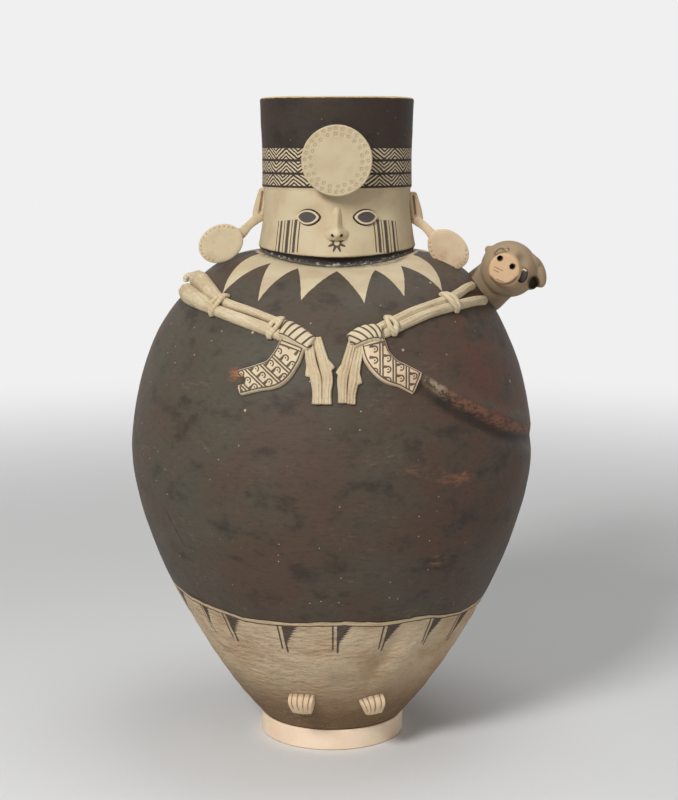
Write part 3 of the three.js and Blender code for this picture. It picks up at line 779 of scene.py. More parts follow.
@dataclass(frozen=True)
class BlackSlip:
    """Worn burnished slip that runs from slate grey to a pinkish brown."""

    slate: Colour = paint(75, 70, 59)
    brown: Colour = paint(77, 63, 52)
    deep: Colour = paint(50, 42, 36)
    rose: Colour = paint(90, 60, 50)
    bloom: Colour = paint(124, 112, 94)
    scuff: Colour = paint(108, 80, 62)
    rust: Colour = paint(146, 90, 58)
    speck: Colour = paint(190, 174, 150)

    def colour(self, s: Shader, cool: Any, warm: Any, worn: Any) -> Link:
        """The slip's colour.

        Args:
            s: The material.
            cool: How far it turns to slate.
            warm: How far it turns to rose.
            worn: How far it has rubbed down to the clay.

        Returns:
            A colour.
        """
        broad = s.noise(70, 3, 0.5, (1.2, 1.2, 1), 3.1)
        cloud = s.noise(22, 5, 0.62, (1.5, 1.5, 1), 7.7)
        grain = s.noise(3.2, 4, 0.7, (2.2, 2.2, 0.8), 1.3)
        bloomed = (cloud * 0.5 + grain * 0.5).rises(0.56, 0.72) * broad.rises(0.42, 0.6)
        rubbed = s.noise(5, 6, 0.78, (2.4, 2.4, 0.8), 5.2) + worn * 0.27
        colour = s.layers(
            self.brown,
            ((broad + cool * 0.9 - 0.05).rises(0.38, 0.72), self.slate),
            (cloud.rises(0.5, 0.3) * 0.75, self.deep),
            (cloud.rises(0.42, 0.6) * warm, self.rose),
            (bloomed * 0.58, self.bloom))
        return s.layers(
            s.shade(colour, grain.rises(0.52, 0.3), 0.78),
            (rubbed.rises(0.66, 0.8) * 0.8, self.scuff),
            (rubbed.rises(0.76, 0.9) * 0.85, self.rust),
            ((s.specks(9, 0.085) | s.specks(34, 0.05, 6.0)) * 0.8, self.speck))


@dataclass(frozen=True)
class CreamSlip:
    """Matt slip over orange clay, with a little dirt where hands have held it."""

    light: Colour = paint(207, 191, 159)
    warm: Colour = paint(197, 176, 144)
    dirt: Colour = paint(150, 131, 100)
    clay: Colour = paint(188, 138, 98)

    def colour(self, s: Shader, dirty: float = 0.5, chipped: float = 0.0) -> Link:
        """The slip's colour.

        Args:
            s: The material.
            dirty: How much dirt lies on it.
            chipped: How much clay shows through.

        Returns:
            A colour.
        """
        broad = s.noise(26, 3, 0.55, seed=2.2)
        grain = s.noise(2.4, 5, 0.68, seed=9.1)
        dirt = (grain * 0.55 + broad * 0.45).rises(0.55, 0.7) * dirty
        colour = s.layers(self.light, (broad.rises(0.38, 0.64), self.warm), (dirt, self.dirt))
        if chipped:
            chips = s.noise(5, 4, 0.7, seed=4.4).rises(0.63, 0.68)
            colour = s.mix(chips * chipped, colour, self.clay)
        return s.shade(colour, s.specks(5, 0.08, 3.0), 0.45)


@dataclass(frozen=True)
class PinkSlip(CreamSlip):
    """The same slip where it has fired to a pinkish cream."""

    light: Colour = paint(216, 194, 163)
    warm: Colour = paint(206, 179, 147)
    dirt: Colour = paint(160, 131, 101)


BLACK = BlackSlip()
CREAM = CreamSlip()
PINK = PinkSlip()
LINE = paint(66, 54, 49)
CLAY_BARE = paint(158, 112, 80)
# Painted shade for crevices, holes and the edges where laid clay meets the wall, and also the dark of the
# crack.
CRACK_AND_SHADE = paint(40, 32, 26)


def clay_grain(s: Shader, depth: float = 0.06) -> Socket:
    """The fine relief of hand smoothed clay."""
    return s.noise(9, 3, 0.5, seed=6.0) * (depth * 4) + s.noise(1.3, 3, 0.7, seed=8.0) * depth


# Meshes


def tube(sides: int, rings: int) -> Mesh:
    """A closed tube that stands ready to be bent, with its place in two layers.

    Args:
        sides: How many sides it has.
        rings: How many rings lie along it.

    Returns:
        A mesh whose layers say how far along (run, 0 to 1) and round (turn) a vertex is.
    """
    bm = bmesh.new()
    bmesh.ops.create_cone(bm, cap_ends=True, cap_tris=False, segments=sides,
                          radius1=1, radius2=1, depth=1)
    long_edges = [e for e in bm.edges if abs(e.verts[0].co.z - e.verts[1].co.z) > 0.5]
    bmesh.ops.subdivide_edges(bm, edges=long_edges, cuts=rings - 2)
    run = bm.verts.layers.float.new("run")
    turn = bm.verts.layers.float.new("turn")
    for vert in bm.verts:
        vert[run] = vert.co.z + 0.5
        vert[turn] = atan2(vert.co.y, vert.co.x)
    return bm


def bend(bm: Mesh, place: Place) -> Mesh:
    """Moves each vertex of a tube to place(run, turn), and closes its ends softly.

    Args:
        bm: A tube.
        place: Gives a vertex's place from its run and turn.

    Returns:
        The same mesh.
    """
    run = bm.verts.layers.float["run"]
    turn = bm.verts.layers.float["turn"]
    for vert in bm.verts:
        vert.co = place(vert[run], vert[turn])
    caps = [f for f in bm.faces if len(f.verts) > 4]
    bmesh.ops.poke(bm, faces=caps)
    bmesh.ops.recalc_face_normals(bm, faces=bm.faces)
    return bm


def tag(bm: Mesh, name: str, reader: Callable[[bmesh.types.BMVert], float]) -> None:
    """Gives every vertex a value that the material reads."""
    layer = bm.verts.layers.float.get(name) or bm.verts.layers.float.new(name)
    for vert in bm.verts:
        vert[layer] = reader(vert)


def limb(stops: Sequence[tuple[Vector, float]], sides: int = 28, rings: int = 48,
         flat: float = 1.0, facing: Vector = Vector((0, -1, 0))) -> Mesh:
    """A rolled limb or cord through points.

    Args:
        stops: (point, radius) pairs.
        sides: How many sides it has.
        rings: How many rings lie along it.
        flat: Its thickness along facing as a share of its width.
        facing: The way its flat side looks.

    Returns:
        Its mesh.
    """
    points = [p for p, _ in stops]
    girths = [Vector((r, 0, 0)) for _, r in stops]

    def place(run: float, turn: float) -> Vector:
        """A point of the limb's skin."""
        share = 0.5 - 0.5 * cos(pi * run)
        along = (spline(points, share + 0.01) - spline(points, share - 0.01)).normalized()
        side = along.cross(facing).normalized()
        out = side.cross(along)
        end = min(share, 1 - share)
        girth = max(0.05, spline(girths, share).x) * (1 - 0.75 * (1 - min(1, end / 0.04)) ** 2)
        return (spline(points, share) + side * (girth * cos(turn))
                + out * (girth * flat * sin(turn)))

    return bend(tube(sides, rings), place)


def ball(place: Matrix, x: float, y: float, z: float) -> Mesh:
    """A ball of clay with its own three radii."""
    bm = bmesh.new()
    bmesh.ops.create_icosphere(bm, subdivisions=5, radius=1,
                               matrix=place @ Matrix.Diagonal((x, y, z, 1)))
    return bm


def turned_mesh(outline: Pairs, segments: int) -> Mesh:
    """Turns an outline of (radius, height) pairs about the axis.

    Args:
        outline: The pairs.
        segments: How many steps go round.

    Returns:
        The turned mesh.
    """
    bm = bmesh.new()
    verts = [bm.verts.new((r, 0, h)) for r, h in outline]
    edges = [bm.edges.new(pair) for pair in zip(verts, verts[1:])]
    bmesh.ops.spin(bm, geom=verts + edges, cent=(0, 0, 0), axis=(0, 0, 1),
                   angle=tau, steps=segments, use_merge=True)
    bmesh.ops.remove_doubles(bm, verts=bm.verts, dist=1e-4)
    bmesh.ops.recalc_face_normals(bm, faces=bm.faces)
    return bm


def fused(parts: Iterable[Mesh], grain: float, softening: int) -> Mesh:
    """Works lumps of clay into one skin.

    Args:
        parts: Closed meshes that overlap.
        grain: The size of the new faces.
        softening: How often the skin is smoothed.

    Returns:
        One closed mesh.
    """
    together = bmesh.new()
    for part in parts:
        loose = bpy.data.meshes.new("lump")
        part.to_mesh(loose)
        together.from_mesh(loose)
        bpy.data.meshes.remove(loose)
    mesh = bpy.data.meshes.new("lumps")
    together.to_mesh(mesh)
    lump = shown("lumps", mesh)
    remesh = lump.modifiers.new("clay", "REMESH")
    remesh.mode = "VOXEL"
    remesh.voxel_size = grain
    worked = lump.evaluated_get(bpy.context.evaluated_depsgraph_get())
    bm = bmesh.new()
    bm.from_mesh(worked.to_mesh())
    bpy.data.objects.remove(lump)
    bpy.data.meshes.remove(mesh)
    for _ in range(softening):
        bmesh.ops.smooth_vert(bm, verts=bm.verts, factor=0.5,
                              use_axis_x=True, use_axis_y=True, use_axis_z=True)
    bmesh.ops.recalc_face_normals(bm, faces=bm.faces)
    return bm


def sculpt(bm: Mesh, move: Move) -> None:
    """Moves every vertex by move(place, normal)."""
    bm.normal_update()
    moves = [move(v.co, v.normal) for v in bm.verts]
    for vert, step in zip(bm.verts, moves):
        vert.co += step


def shown(name: str, data: bpy.types.ID) -> bpy.types.Object:
    """Adds an object to the scene."""
    thing = bpy.data.objects.new(name, data)
    bpy.context.scene.collection.objects.link(thing)
    return thing


def settle(nodes: Sequence[str], bm: Mesh, material: Material, slot: Slot = Slot.CREAM,
           body: Body = Body.JAR, kind: str = "clay") -> None:
    """Makes a piece of a mesh in millimetres, and puts it on its body.

    Args:
        nodes: The CAD nodes that it stands for. The first one names it.
        bm: Its mesh.
        material: Its finish.
        slot: The record's material slot; not used.
        body: The body that it rides on.
        kind: The last word of its name.
    """
    name = f"{nodes[0]}_{kind}"
    bmesh.ops.scale(bm, vec=(MM, MM, MM), verts=bm.verts)
    bmesh.ops.triangulate(bm, faces=[f for f in bm.faces if len(f.verts) > 4])
    for face in bm.faces:
        face.smooth = True
    mesh = bpy.data.meshes.new(name)
    bm.to_mesh(mesh)
    bm.free()
    mesh.materials.append(material)
    piece = shown(name, mesh)
    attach(piece, body.value)
    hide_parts(*nodes)
    log.info("%s: %d faces on %s", name, len(mesh.polygons), body.value)


# Clay laid on a wall


@dataclass
class LaidClay:
    """A roll or slab of clay laid on a wall.

    Its stops are (angle, height, half width). fullness is its rise over its half width, and
    square above 1 flattens its top. ridges with groove part it into fingers or toes.
    """

    stops: Stops
    wall: Wall = field(default_factory=lambda: JAR_WALL)
    fullness: float = 1.3
    square: float = 1.0
    end_round: float = 5.0
    rings: int = 90
    sides: int = 44
    sunk: float = 4.0
    ridges: int = 0
    groove: float = 0.0
    strands: float = 0.0
    wobble: float = 0.25
    spur: float = 0.0
    spur_at: float = 0.6

    def middle(self, share: float) -> tuple[Vector, Vector]:
        """The stop and the wall's point at a share of the way."""
        stop = spline([Vector(s) for s in self.stops], share)
        return stop, self.wall.skin(stop.x, stop.y)

    def frames(self, count: int) -> list[tuple[float, Vector, Vector, Vector, float, float]]:
        """Works out each ring's run in mm, centre, side, outward, half width and rise.

        Args:
            count: How many rings there are.

        Returns:
            One tuple of these for each ring.
        """
        places = [self.middle(i / 40)[1] for i in range(41)]
        lengths = [0.0]
        for before, after in zip(places, places[1:]):
            lengths.append(lengths[-1] + (after - before).length)
        total = lengths[-1]
        reach = min(self.end_round, total / 3)
        result = []
        for i in range(count):
            t = i / (count - 1)
            share = lerp(t, 0.5 - 0.5 * cos(pi * t), 0.75)
            stop, point = self.middle(share)
            at = line_curve([(k / 40, length) for k, length in enumerate(lengths)], share)
            out = self.wall.outward(stop.x, stop.y)
            along = self.middle(min(1, share + 0.01))[1] - self.middle(max(0, share - 0.01))[1]
            side = out.cross(along).normalized()
            end = clamp(min(at, total - at) / reach)
            full = max(0.08, sqrt(1 - (1 - end) ** 2))
            if self.ridges:
                full *= 1 - self.groove * (1 - abs(sin(pi * self.ridges * share)) ** 0.6)
            result.append((at, point, side, out, stop.z * full, stop.z * self.fullness * full))
        return result

    def mesh(self) -> Mesh:
        """The clay's mesh, which says how far along (way), across and up it is.

        Returns:
            The mesh.
        """
        frames = self.frames(self.rings)
        edge = 1.0

        def place(run: float, turn: float) -> Vector:
            """A point of the clay's skin."""
            at, point, side, out, half, rise = frames[round(run * (self.rings - 1))]
            cosine, sine = cos(turn), sin(turn)
            if sine < 0:
                return point + side * (cosine * half) + out * (sine * self.sunk - edge)
            across = copysign(abs(cosine) ** (1 / self.square), cosine)
            half += abs(self.spur) * self.thorn(at / frames[-1][0]) * smoothstep(
                across * copysign(1, self.spur), 0.55, 1)
            up = sine ** (1 / self.square)
            strand = sin(across * 9 + 0.6 * sin(at * 0.13)) * self.strands
            uneven = noise.noise(point * 0.09 + side * across * 1.5) * self.wobble
            lift = up * (rise + edge + strand + uneven) - edge
            return point + side * (across * half) + out * lift

        bm = tube(self.sides, self.rings)
        run, turn = bm.verts.layers.float["run"], bm.verts.layers.float["turn"]
        tag(bm, "way", lambda v: frames[round(v[run] * (self.rings - 1))][0])
        tag(bm, "across", lambda v: copysign(
            abs(cos(v[turn])) ** (1 / self.square), cos(v[turn])))
        tag(bm, "up", lambda v: sin(v[turn]))
        return bend(bm, place)

    def thorn(self, share: float) -> float:
        """The outline of a spur on one edge, which leans towards the end."""
        past = share - self.spur_at
        return smoothstep(past, -0.16, 0) if past < 0 else smoothstep(past, 0.035, 0)

    @property
    def length(self) -> float:
        """How long it is."""
        return self.frames(2)[-1][0]


# Sub-assemblies


@dataclass
class DisplayRing:
    """The plain ring that the jar stands on."""

    inner: float = 66.5
    outer: float = 72.0
    height: float = 21.0
    edge: float = 1.5
    seat_gap: float = 0.3

    def finish(self) -> Material:
        """Smooth pinkish clay, a little rubbed, with painted shade at its foot.

        Returns:
            Its material.
        """
        s = Shader("ring_clay")
        cloud = s.noise(30, 4, 0.5, seed=1.0)
        fine = s.noise(1.6, 3, 0.6, (3, 3, 0.7), 4.0)
        _, _, z = s.axes()
        colour = s.layers(
            paint(248, 224, 197),
            (cloud.rises(0.35, 0.7), paint(240, 212, 182)),
            (fine.rises(0.5, 0.8) * 0.25, paint(214, 176, 142)),
            # Darker in the lowest 1.4 mm: painted shade where the ring meets the floor.
            (z.rises(1.4, 0.2) * 0.6, paint(150, 122, 98)))
        return s.finish(colour, 0.55 + cloud * 0.12, fine * 0.04 + cloud * 0.1, 0.08)

    def build(self) -> None:
        """Turns the ring with rounded edges, its top kept just below the jar."""
        seat = [(r, self.seat(r)) for r in (self.inner, 68.0, 69.6)]
        curve = [(cos(radians(a)), sin(radians(a))) for a in range(0, 91, 15)]
        low = [(self.outer - self.edge * (1 - x), self.edge * (1 - y))
               for x, y in reversed(curve)]
        top = self.seat(self.outer - self.edge)
        high = [(self.outer - self.edge * (1 - x), top - self.edge * (1 - y)) for x, y in curve]
        outline = [(self.inner, 0.0), *low, *high, *reversed(seat), (self.inner, 0.0)]
        bm = turned_mesh(outline, 160)
        settle(("display_ring",), bm, self.finish(), Slot.RING, Body.STAND)

    def seat(self, radius: float) -> float:
        """The height of the ring's top at a radius, under the jar's curve.

        Args:
            radius: Where to read it.

        Returns:
            The height.
        """
        outline = JAR_WALL.outline()
        for (r0, h0), (r1, h1) in zip(outline, outline[1:]):
            if r1 >= radius:
                return min(self.height, lerp(h0, h1, (radius - r0) / (r1 - r0)) - self.seat_gap)
        return self.height


@dataclass(frozen=True)
class Patch:
    """A place on the jar where its colour changes."""

    angle: float
    height: float
    wide: float
    tall: float
    strength: float = 1.0

    def at(self, angle: float, height: float) -> float:
        """How strong the patch is at a place."""
        around = radians(apart(angle, self.angle)) * JAR_WALL.belly_radius
        return self.strength * bell(around, self.wide) * bell(height - self.height, self.tall)


@dataclass
class JarBody:
    """The jar: black slip above the hem, cream below it, and a collar of points."""

    thickness: float = 8.0
    segments: int = 216
    black_edge: float = 1.3
    hem_line: float = -2.8
    hem_radius: float = 158.0
    motifs: int = 20
    tooth: float = 2.9
    hem: Pairs = (
        (-170, 157), (-130, 154), (-95, 160), (-69.1, 164.9), (-55, 160), (-41.5, 156.9),
        (-30, 154), (-20.6, 153.9), (2.5, 155.5), (17.9, 152.8), (35.1, 154.5), (45, 150),
        (56, 147.4), (76.9, 149.9), (110, 156), (150, 152))
    valleys: Pairs = (
        (-64.5, 93), (-42.9, 92), (-23.3, 92.3), (0, 93.3), (21.7, 96.6), (38.6, 96.8), (61.5, 90.5))
    tips: Pairs = (
        (-48.7, 141.7), (-29.7, 145.5), (-13.3, 142.3), (10.1, 144.1), (26.4, 138.5), (45.4, 137.4))
    back_petals: int = 10
    back_valley: float = 92.0
    back_tip: float = 139.0
    petal_slim: float = 0.38
    plain: float = 26.0
    plain_radius: float = 80.0
    fade: float = 4.0
    crack: Triple = (-51.0, 237.0, 18.0)
    shifts: Pairs = (
        (-90, 0), (-54, -1.8), (-41, 5.2), (-18, 0.7), (0, -0.5), (18, -0.4), (36, -0.7),
        (54, 0.4), (90, 0), (180, 1.5))
    rubbed: tuple[Patch, ...] = (
        Patch(35, 295, 20, 5, 1.1), Patch(22, 304, 20, 5, 0.7), Patch(39, 288, 8, 4, 0.6),
        Patch(33, 212, 10, 8, 0.9), Patch(-28.2, 388.5, 7, 6, 1.7), Patch(-44.6, 373, 16, 4, 0.8),
        Patch(62, 395, 18, 8, 0.5), Patch(165, 350, 30, 14, 0.6), Patch(-120, 280, 22, 18, 0.6))
    rosy: tuple[Patch, ...] = (
        Patch(50, 350, 60, 60, 0.7), Patch(52, 375, 10, 26, 0.9), Patch(-10, 250, 60, 60, 0.3),
        Patch(-60, 340, 60, 60, 0.2), Patch(35, 230, 30, 40, 0.4),
        Patch(130, 300, 120, 100, 0.5), Patch(58, 420, 40, 26, 0.8))
    slate: tuple[Patch, ...] = (
        Patch(-24, 410, 70, 40, 0.35), Patch(30, 455, 80, 22, 0.25), Patch(-50, 300, 60, 90, 0.2),
        Patch(15, 230, 60, 60, 0.1), Patch(-150, 330, 90, 90, 0.3))

    def outline(self) -> Outline:
        """The closed wall: outside up to the seam, over the mouth, and inside down.

        Returns:
            Its (radius, height) pairs.
        """
        outside = JAR_WALL.underside() + JAR_WALL.outline()[1:]
        inside = []
        for i in range(len(outside) - 1, -1, -2):
            before, after = outside[max(0, i - 1)], outside[min(len(outside) - 1, i + 1)]
            along = (Vector(after) - Vector(before)).normalized()
            radius = outside[i][0] - along.y * self.thickness
            inside.append((max(0.0, radius), outside[i][1] + along.x * self.thickness))
        inside[-1] = (0.0, inside[-1][1])
        mouth = JAR_WALL.seam_radius - 7
        return [*outside, (mouth, JAR_WALL.seam_height), *inside]

    @property
    def petals(self) -> int:
        """How many points the collar has."""
        return len(self.tips) + self.back_petals

    def collar_round(self) -> list[list[Triple]]:
        """The collar's valleys and tips right round, with a plain stretch on each side.

        Returns:
            For the valleys and then the tips, triples of angle, radius and points passed.
        """
        count, total = len(self.tips), self.petals
        first, last = self.valleys[0][0], self.valleys[-1][0]
        start, end = last + self.plain, first + FULL_TURN - self.plain
        step = (end - start) / self.back_petals
        low = [(a, r, i) for i, (a, r) in enumerate(self.valleys)]
        low += [(last + self.fade, self.plain_radius, count), (start - self.fade, self.plain_radius, count)]
        low += [(start + step * k, self.back_valley, count + k) for k in range(self.back_petals + 1)]
        low += [(end + self.fade, self.plain_radius, total),
                (first + FULL_TURN - self.fade, self.plain_radius, total)]
        high = [(first, self.back_tip, 0.0)]
        high += [(a, r, i + 0.5) for i, (a, r) in enumerate(self.tips)]
        high += [(last, self.back_tip, count), (start, self.back_tip, count)]
        high += [(start + step * (k + 0.5), self.back_tip, count + k + 0.5)
                 for k in range(self.back_petals)]
        high += [(end, self.back_tip, total)]
        return [low, high]

    def mesh(self) -> Mesh:
        """The wall's mesh, which carries where the paint and the wear lie, and where shade is painted in the
        fold's crease.

        Returns:
            The mesh.
        """
        bm = turned_mesh(self.outline(), self.segments)
        names = ("hem", "shift", "petal", "collar", "worn", "rose", "slate", "inner", "lip", "crease")
        layers = {name: bm.verts.layers.float.new(name) for name in names}
        heights = sorted(h for _, h in JAR_WALL.outline())
        valleys, tips = ([(a, r) for a, r, _ in knots] for knots in self.collar_round())
        passed = [[(a, n) for a, _, n in knots] for knots in self.collar_round()]
        for vert in bm.verts:
            radius = hypot(vert.co.x, vert.co.y)
            angle = angle_of(vert.co) if radius > 0.01 else 0.0
            height = vert.co.z
            skin = JAR_WALL.radius_at(height)
            inner = 1.0 if radius < skin - self.thickness * 0.45 and heights[0] < height else 0.0
            if height >= JAR_WALL.seam_height - 0.1 or radius < 2:
                inner = 0.0
            place = JAR_WALL.form(angle, radius, height)
            beaten = 0.16 + 0.7 * smoothstep(height, 160, 130)
            uneven = 0.55 * (noise.noise(place / 34) - 1) + beaten * (noise.noise(place / 12) - 1)
            steady = clamp(radius / 40) * (1 - inner) * (1 - smoothstep(height, 470, 480))
            place += polar(angle, uneven * steady * smoothstep(height, 20, 34), 0)
            bearing = angle_of(place) if radius > 0.01 else 0.0
            around = hypot(place.x - JAR_WALL.saddle.lean, place.y)
            leant = angle_of(place - Vector((JAR_WALL.saddle.lean, 0, 0))) if radius > 0.01 else 0.0
            low, high = round_curve(valleys, leant), round_curve(tips, leant)
            share = (around - low) / (high - low)
            turned = (leant - valleys[0][0]) % FULL_TURN + valleys[0][0]
            phase = lerp(*(line_curve(knots, turned) for knots in passed), clamp(share))
            above = FOLD.above(bearing, place.z)
            values = {
                "collar": share if place.z > 400 else 2.0,
                "petal": phase + (apart(leant, bearing) - turned) * self.petals / FULL_TURN,
                "hem": place.z - round_curve(self.hem, bearing),
                "shift": round_curve(self.shifts, bearing),
                "worn": sum(p.at(bearing, place.z) for p in self.rubbed),
                "rose": clamp(sum(p.at(bearing, place.z) for p in self.rosy)),
                "slate": clamp(sum(p.at(bearing, place.z) for p in self.slate)),
                "inner": inner,
                "lip": bell(above - 5.5, 4.5) * FOLD.strength(bearing, 2, -14) * (1 - inner),
                # Where shade is painted in the crease under the fold.
                "crease": bell(above + 5, 3.6) * FOLD.strength(bearing, 16, 0) * (1 - inner),
            }
            for name, value in values.items():
                vert[layers[name]] = value
            vert.co = place
        return bm

    def collar(self, s: Shader, angle: Socket) -> Socket:
        """The mask of the pointed collar round the neck.

        Args:
            s: The material.
            angle: The angle from the front.

        Returns:
            The mask.
        """
        ragged = s.noise(6, 3, 0.6, seed=2.5) - 0.5
        share = (s["collar"] + ragged * 0.03).math("MAXIMUM", 0.0)
        phase = (angle * (self.petals / FULL_TURN) + s["petal"]).fraction()
        width = abs(phase - 0.5) * 2 + ragged * 0.03
        reach = (1 - share).math("MAXIMUM", 0.0) / (1 + share * self.petal_slim)
        points = (reach - width).rises(-0.014, 0.014) & share.rises(1.0, 0.985)
        return points | share.rises(0.02, 0.0)

    def hanging(self, s: Shader, angle: Socket, hem: Socket) -> Socket:
        """The mask of the pairs of lines and stepped triangles under the hem.

        Args:
            s: The material.
            angle: The angle from the front.
            hem: The height above the hem.

        Returns:
            The mask.
        """
        around = (angle + s["shift"]) * (self.motifs / FULL_TURN) + 0.5
        wide = FULL_TURN / self.motifs * radians(1) * self.hem_radius
        along = (around.fraction() - 0.5) * wide + (s.noise(5, 2, 0.5, seed=3.3) - 0.5) * 0.9
        down = self.hem_line - hem
        lines = (along.near(0, 0.9, 0.25) & down.rises(28, 26)) | (
            along.near(4.9, 1.1, 0.25) & down.rises(31.5, 29.5))
        step = (down / self.tooth).floor() * self.tooth
        edge = 20.0 - step * 0.6 - (down - step) * 1.75
        wedge = along.rises(4.4, 4.9) & (edge - along).rises(-0.25, 0.25) & down.rises(21.5, 20.5)
        return (lines | wedge) & down.rises(-0.3, 0.3)

    def black(self, s: Shader, angle: Socket) -> Link:
        """The slip above the hem, flaked on the fold's lip, with painted shade in its crease.

        Args:
            s: The material.
            angle: The angle from the front.

        Returns:
            Its colour.
        """
        chipped = s.noise(5, 5, 0.72, (1.3, 1.3, 1), 2.9).rises(0.43, 0.55)
        flaked = s["lip"].rises(0.2, 0.8) * chipped
        return s.layers(
            BLACK.colour(s, s["slate"], s["rose"], s["worn"]),
            (flaked * 0.75, paint(134, 92, 72)),
            ((flaked & angle.rises(34, 31)) * 0.8, paint(158, 144, 120)),
            # Painted shade in the crease under the fold.
            (s["crease"] * 0.75, paint(38, 32, 28)))

    def cream(self, s: Shader, z: Socket, marks: Socket, grain: Socket) -> Link:
        """The slip below the hem, browner towards the base and stained in places.

        Args:
            s: The material.
            z: The height.
            marks: Broad marks.
            grain: Fine marks.

        Returns:
            Its colour.
        """
        broad = s.noise(38, 4, 0.55, (1.3, 1.3, 1), 1.1)
        stained = s.noise(24, 4, 0.6, (1.4, 1.4, 0.8), 9.4).rises(0.56, 0.68)
        return s.layers(
            paint(198, 177, 147),
            (broad.rises(0.36, 0.66), paint(178, 152, 121)),
            ((z + broad * 60 - 30).rises(104, 34) * 0.92, paint(114, 88, 63)),
            (marks.rises(0.56, 0.7) * 0.4, paint(122, 100, 72)),
            (grain.rises(0.58, 0.7) * 0.35, paint(214, 198, 168)),
            (stained * 0.4, paint(157, 124, 90)))

    def finish(self) -> Material:
        """The painted and worn slip of the jar, with painted shade in its pits, its crease and just above the
        ring.

        Returns:
            Its material.
        """
        s = Shader("jar_slip")
        x, y, z = s.axes()
        angle = s.angle(x, y)
        hem = s["hem"] + (s.noise(9, 3, 0.6, (1, 1, 1), 8.8) - 0.5) * 1.6
        wavy = hem + (s.noise(40, 2, 0.5, seed=1.7) - 0.5) * 6
        above = wavy.rises(self.black_edge - 0.35, self.black_edge + 0.35)
        marks = s.noise(2.8, 4, 0.62, (2.2, 2.2, 0.8), 2.4)
        grain = s.noise(1.7, 4, 0.75, (1.6, 1.6, 1), 5.5)
        # The pits are sunk in the relief below, and their colour is darkened as painted shade.
        pits = (marks * 0.5 + grain * 0.5).rises(0.36, 0.28)
        cream = s.shade(self.cream(s, z, marks, grain), pits * hem.rises(0, -2), 0.6)
        line = hem.near(self.hem_line, 0.6, 0.3)
        worn_ink = s.mix(grain.rises(0.5, 0.62) * 0.5, LINE, paint(92, 84, 78))
        points = s.mix(0.2, CREAM.colour(s, 0.35), paint(150, 138, 114))
        smear = s["collar"].rises(-0.17, -0.28) * s.noise(5, 3, 0.6, seed=6.3).rises(0.3, 0.6)
        turn, height, half = self.crack
        up = z - height
        crack = (angle - turn + up * 0.17 + (s.noise(6, 3, seed=4.0) - 0.5) * 2.4).near(0, 0.16, 0.1)
        crack = crack & up.near(0, half, 4)
        colour = s.layers(
            cream,
            ((self.hanging(s, angle, hem) | line) * 0.93, worn_ink),
            (hem.rises(self.hem_line + 0.6, self.hem_line + 1.0) * 0.8, paint(198, 174, 138)),
            (above, self.black(s, angle)),
            (wavy.near(self.black_edge + 0.4, 0.5, 0.4) * 0.8, paint(40, 33, 30)),
            (crack * 0.85, CRACK_AND_SHADE),
            (self.collar(s, angle), points),
            (smear * 0.75, paint(112, 104, 94)),
            # Darker just above the ring: painted shade where the jar sits in it.
            (z.rises(23.5, 19.5) * 0.8, CRACK_AND_SHADE),
            (s["inner"], CLAY_BARE))
        below = 1 - above
        waves = s.noise(6, 3, 0.55, (2.4, 2.4, 0.8), 4.9)
        lumps = s.noise(15, 3, 0.55, (1.7, 1.7, 1), 3.3)
        relief = s.noise(26, 3, 0.5, (1.6, 1.6, 0.8), 6.1) * 0.8 + marks * (below * 1.5 + 0.14)
        relief = relief + lumps * below * 5.0 + waves * (below * 3.6 + 0.35)
        relief = relief + grain * (below * 0.4 + 0.1) - pits * below * 0.5 - crack * 0.4
        rough = 0.56 + below * 0.2 + grain * 0.14 - s["slate"] * 0.05
        return s.finish(colour, rough, relief, 0.03)

    def build(self) -> None:
        """Makes the jar."""
        settle(("jar_body",), self.mesh(), self.finish(), Slot.BLACK)


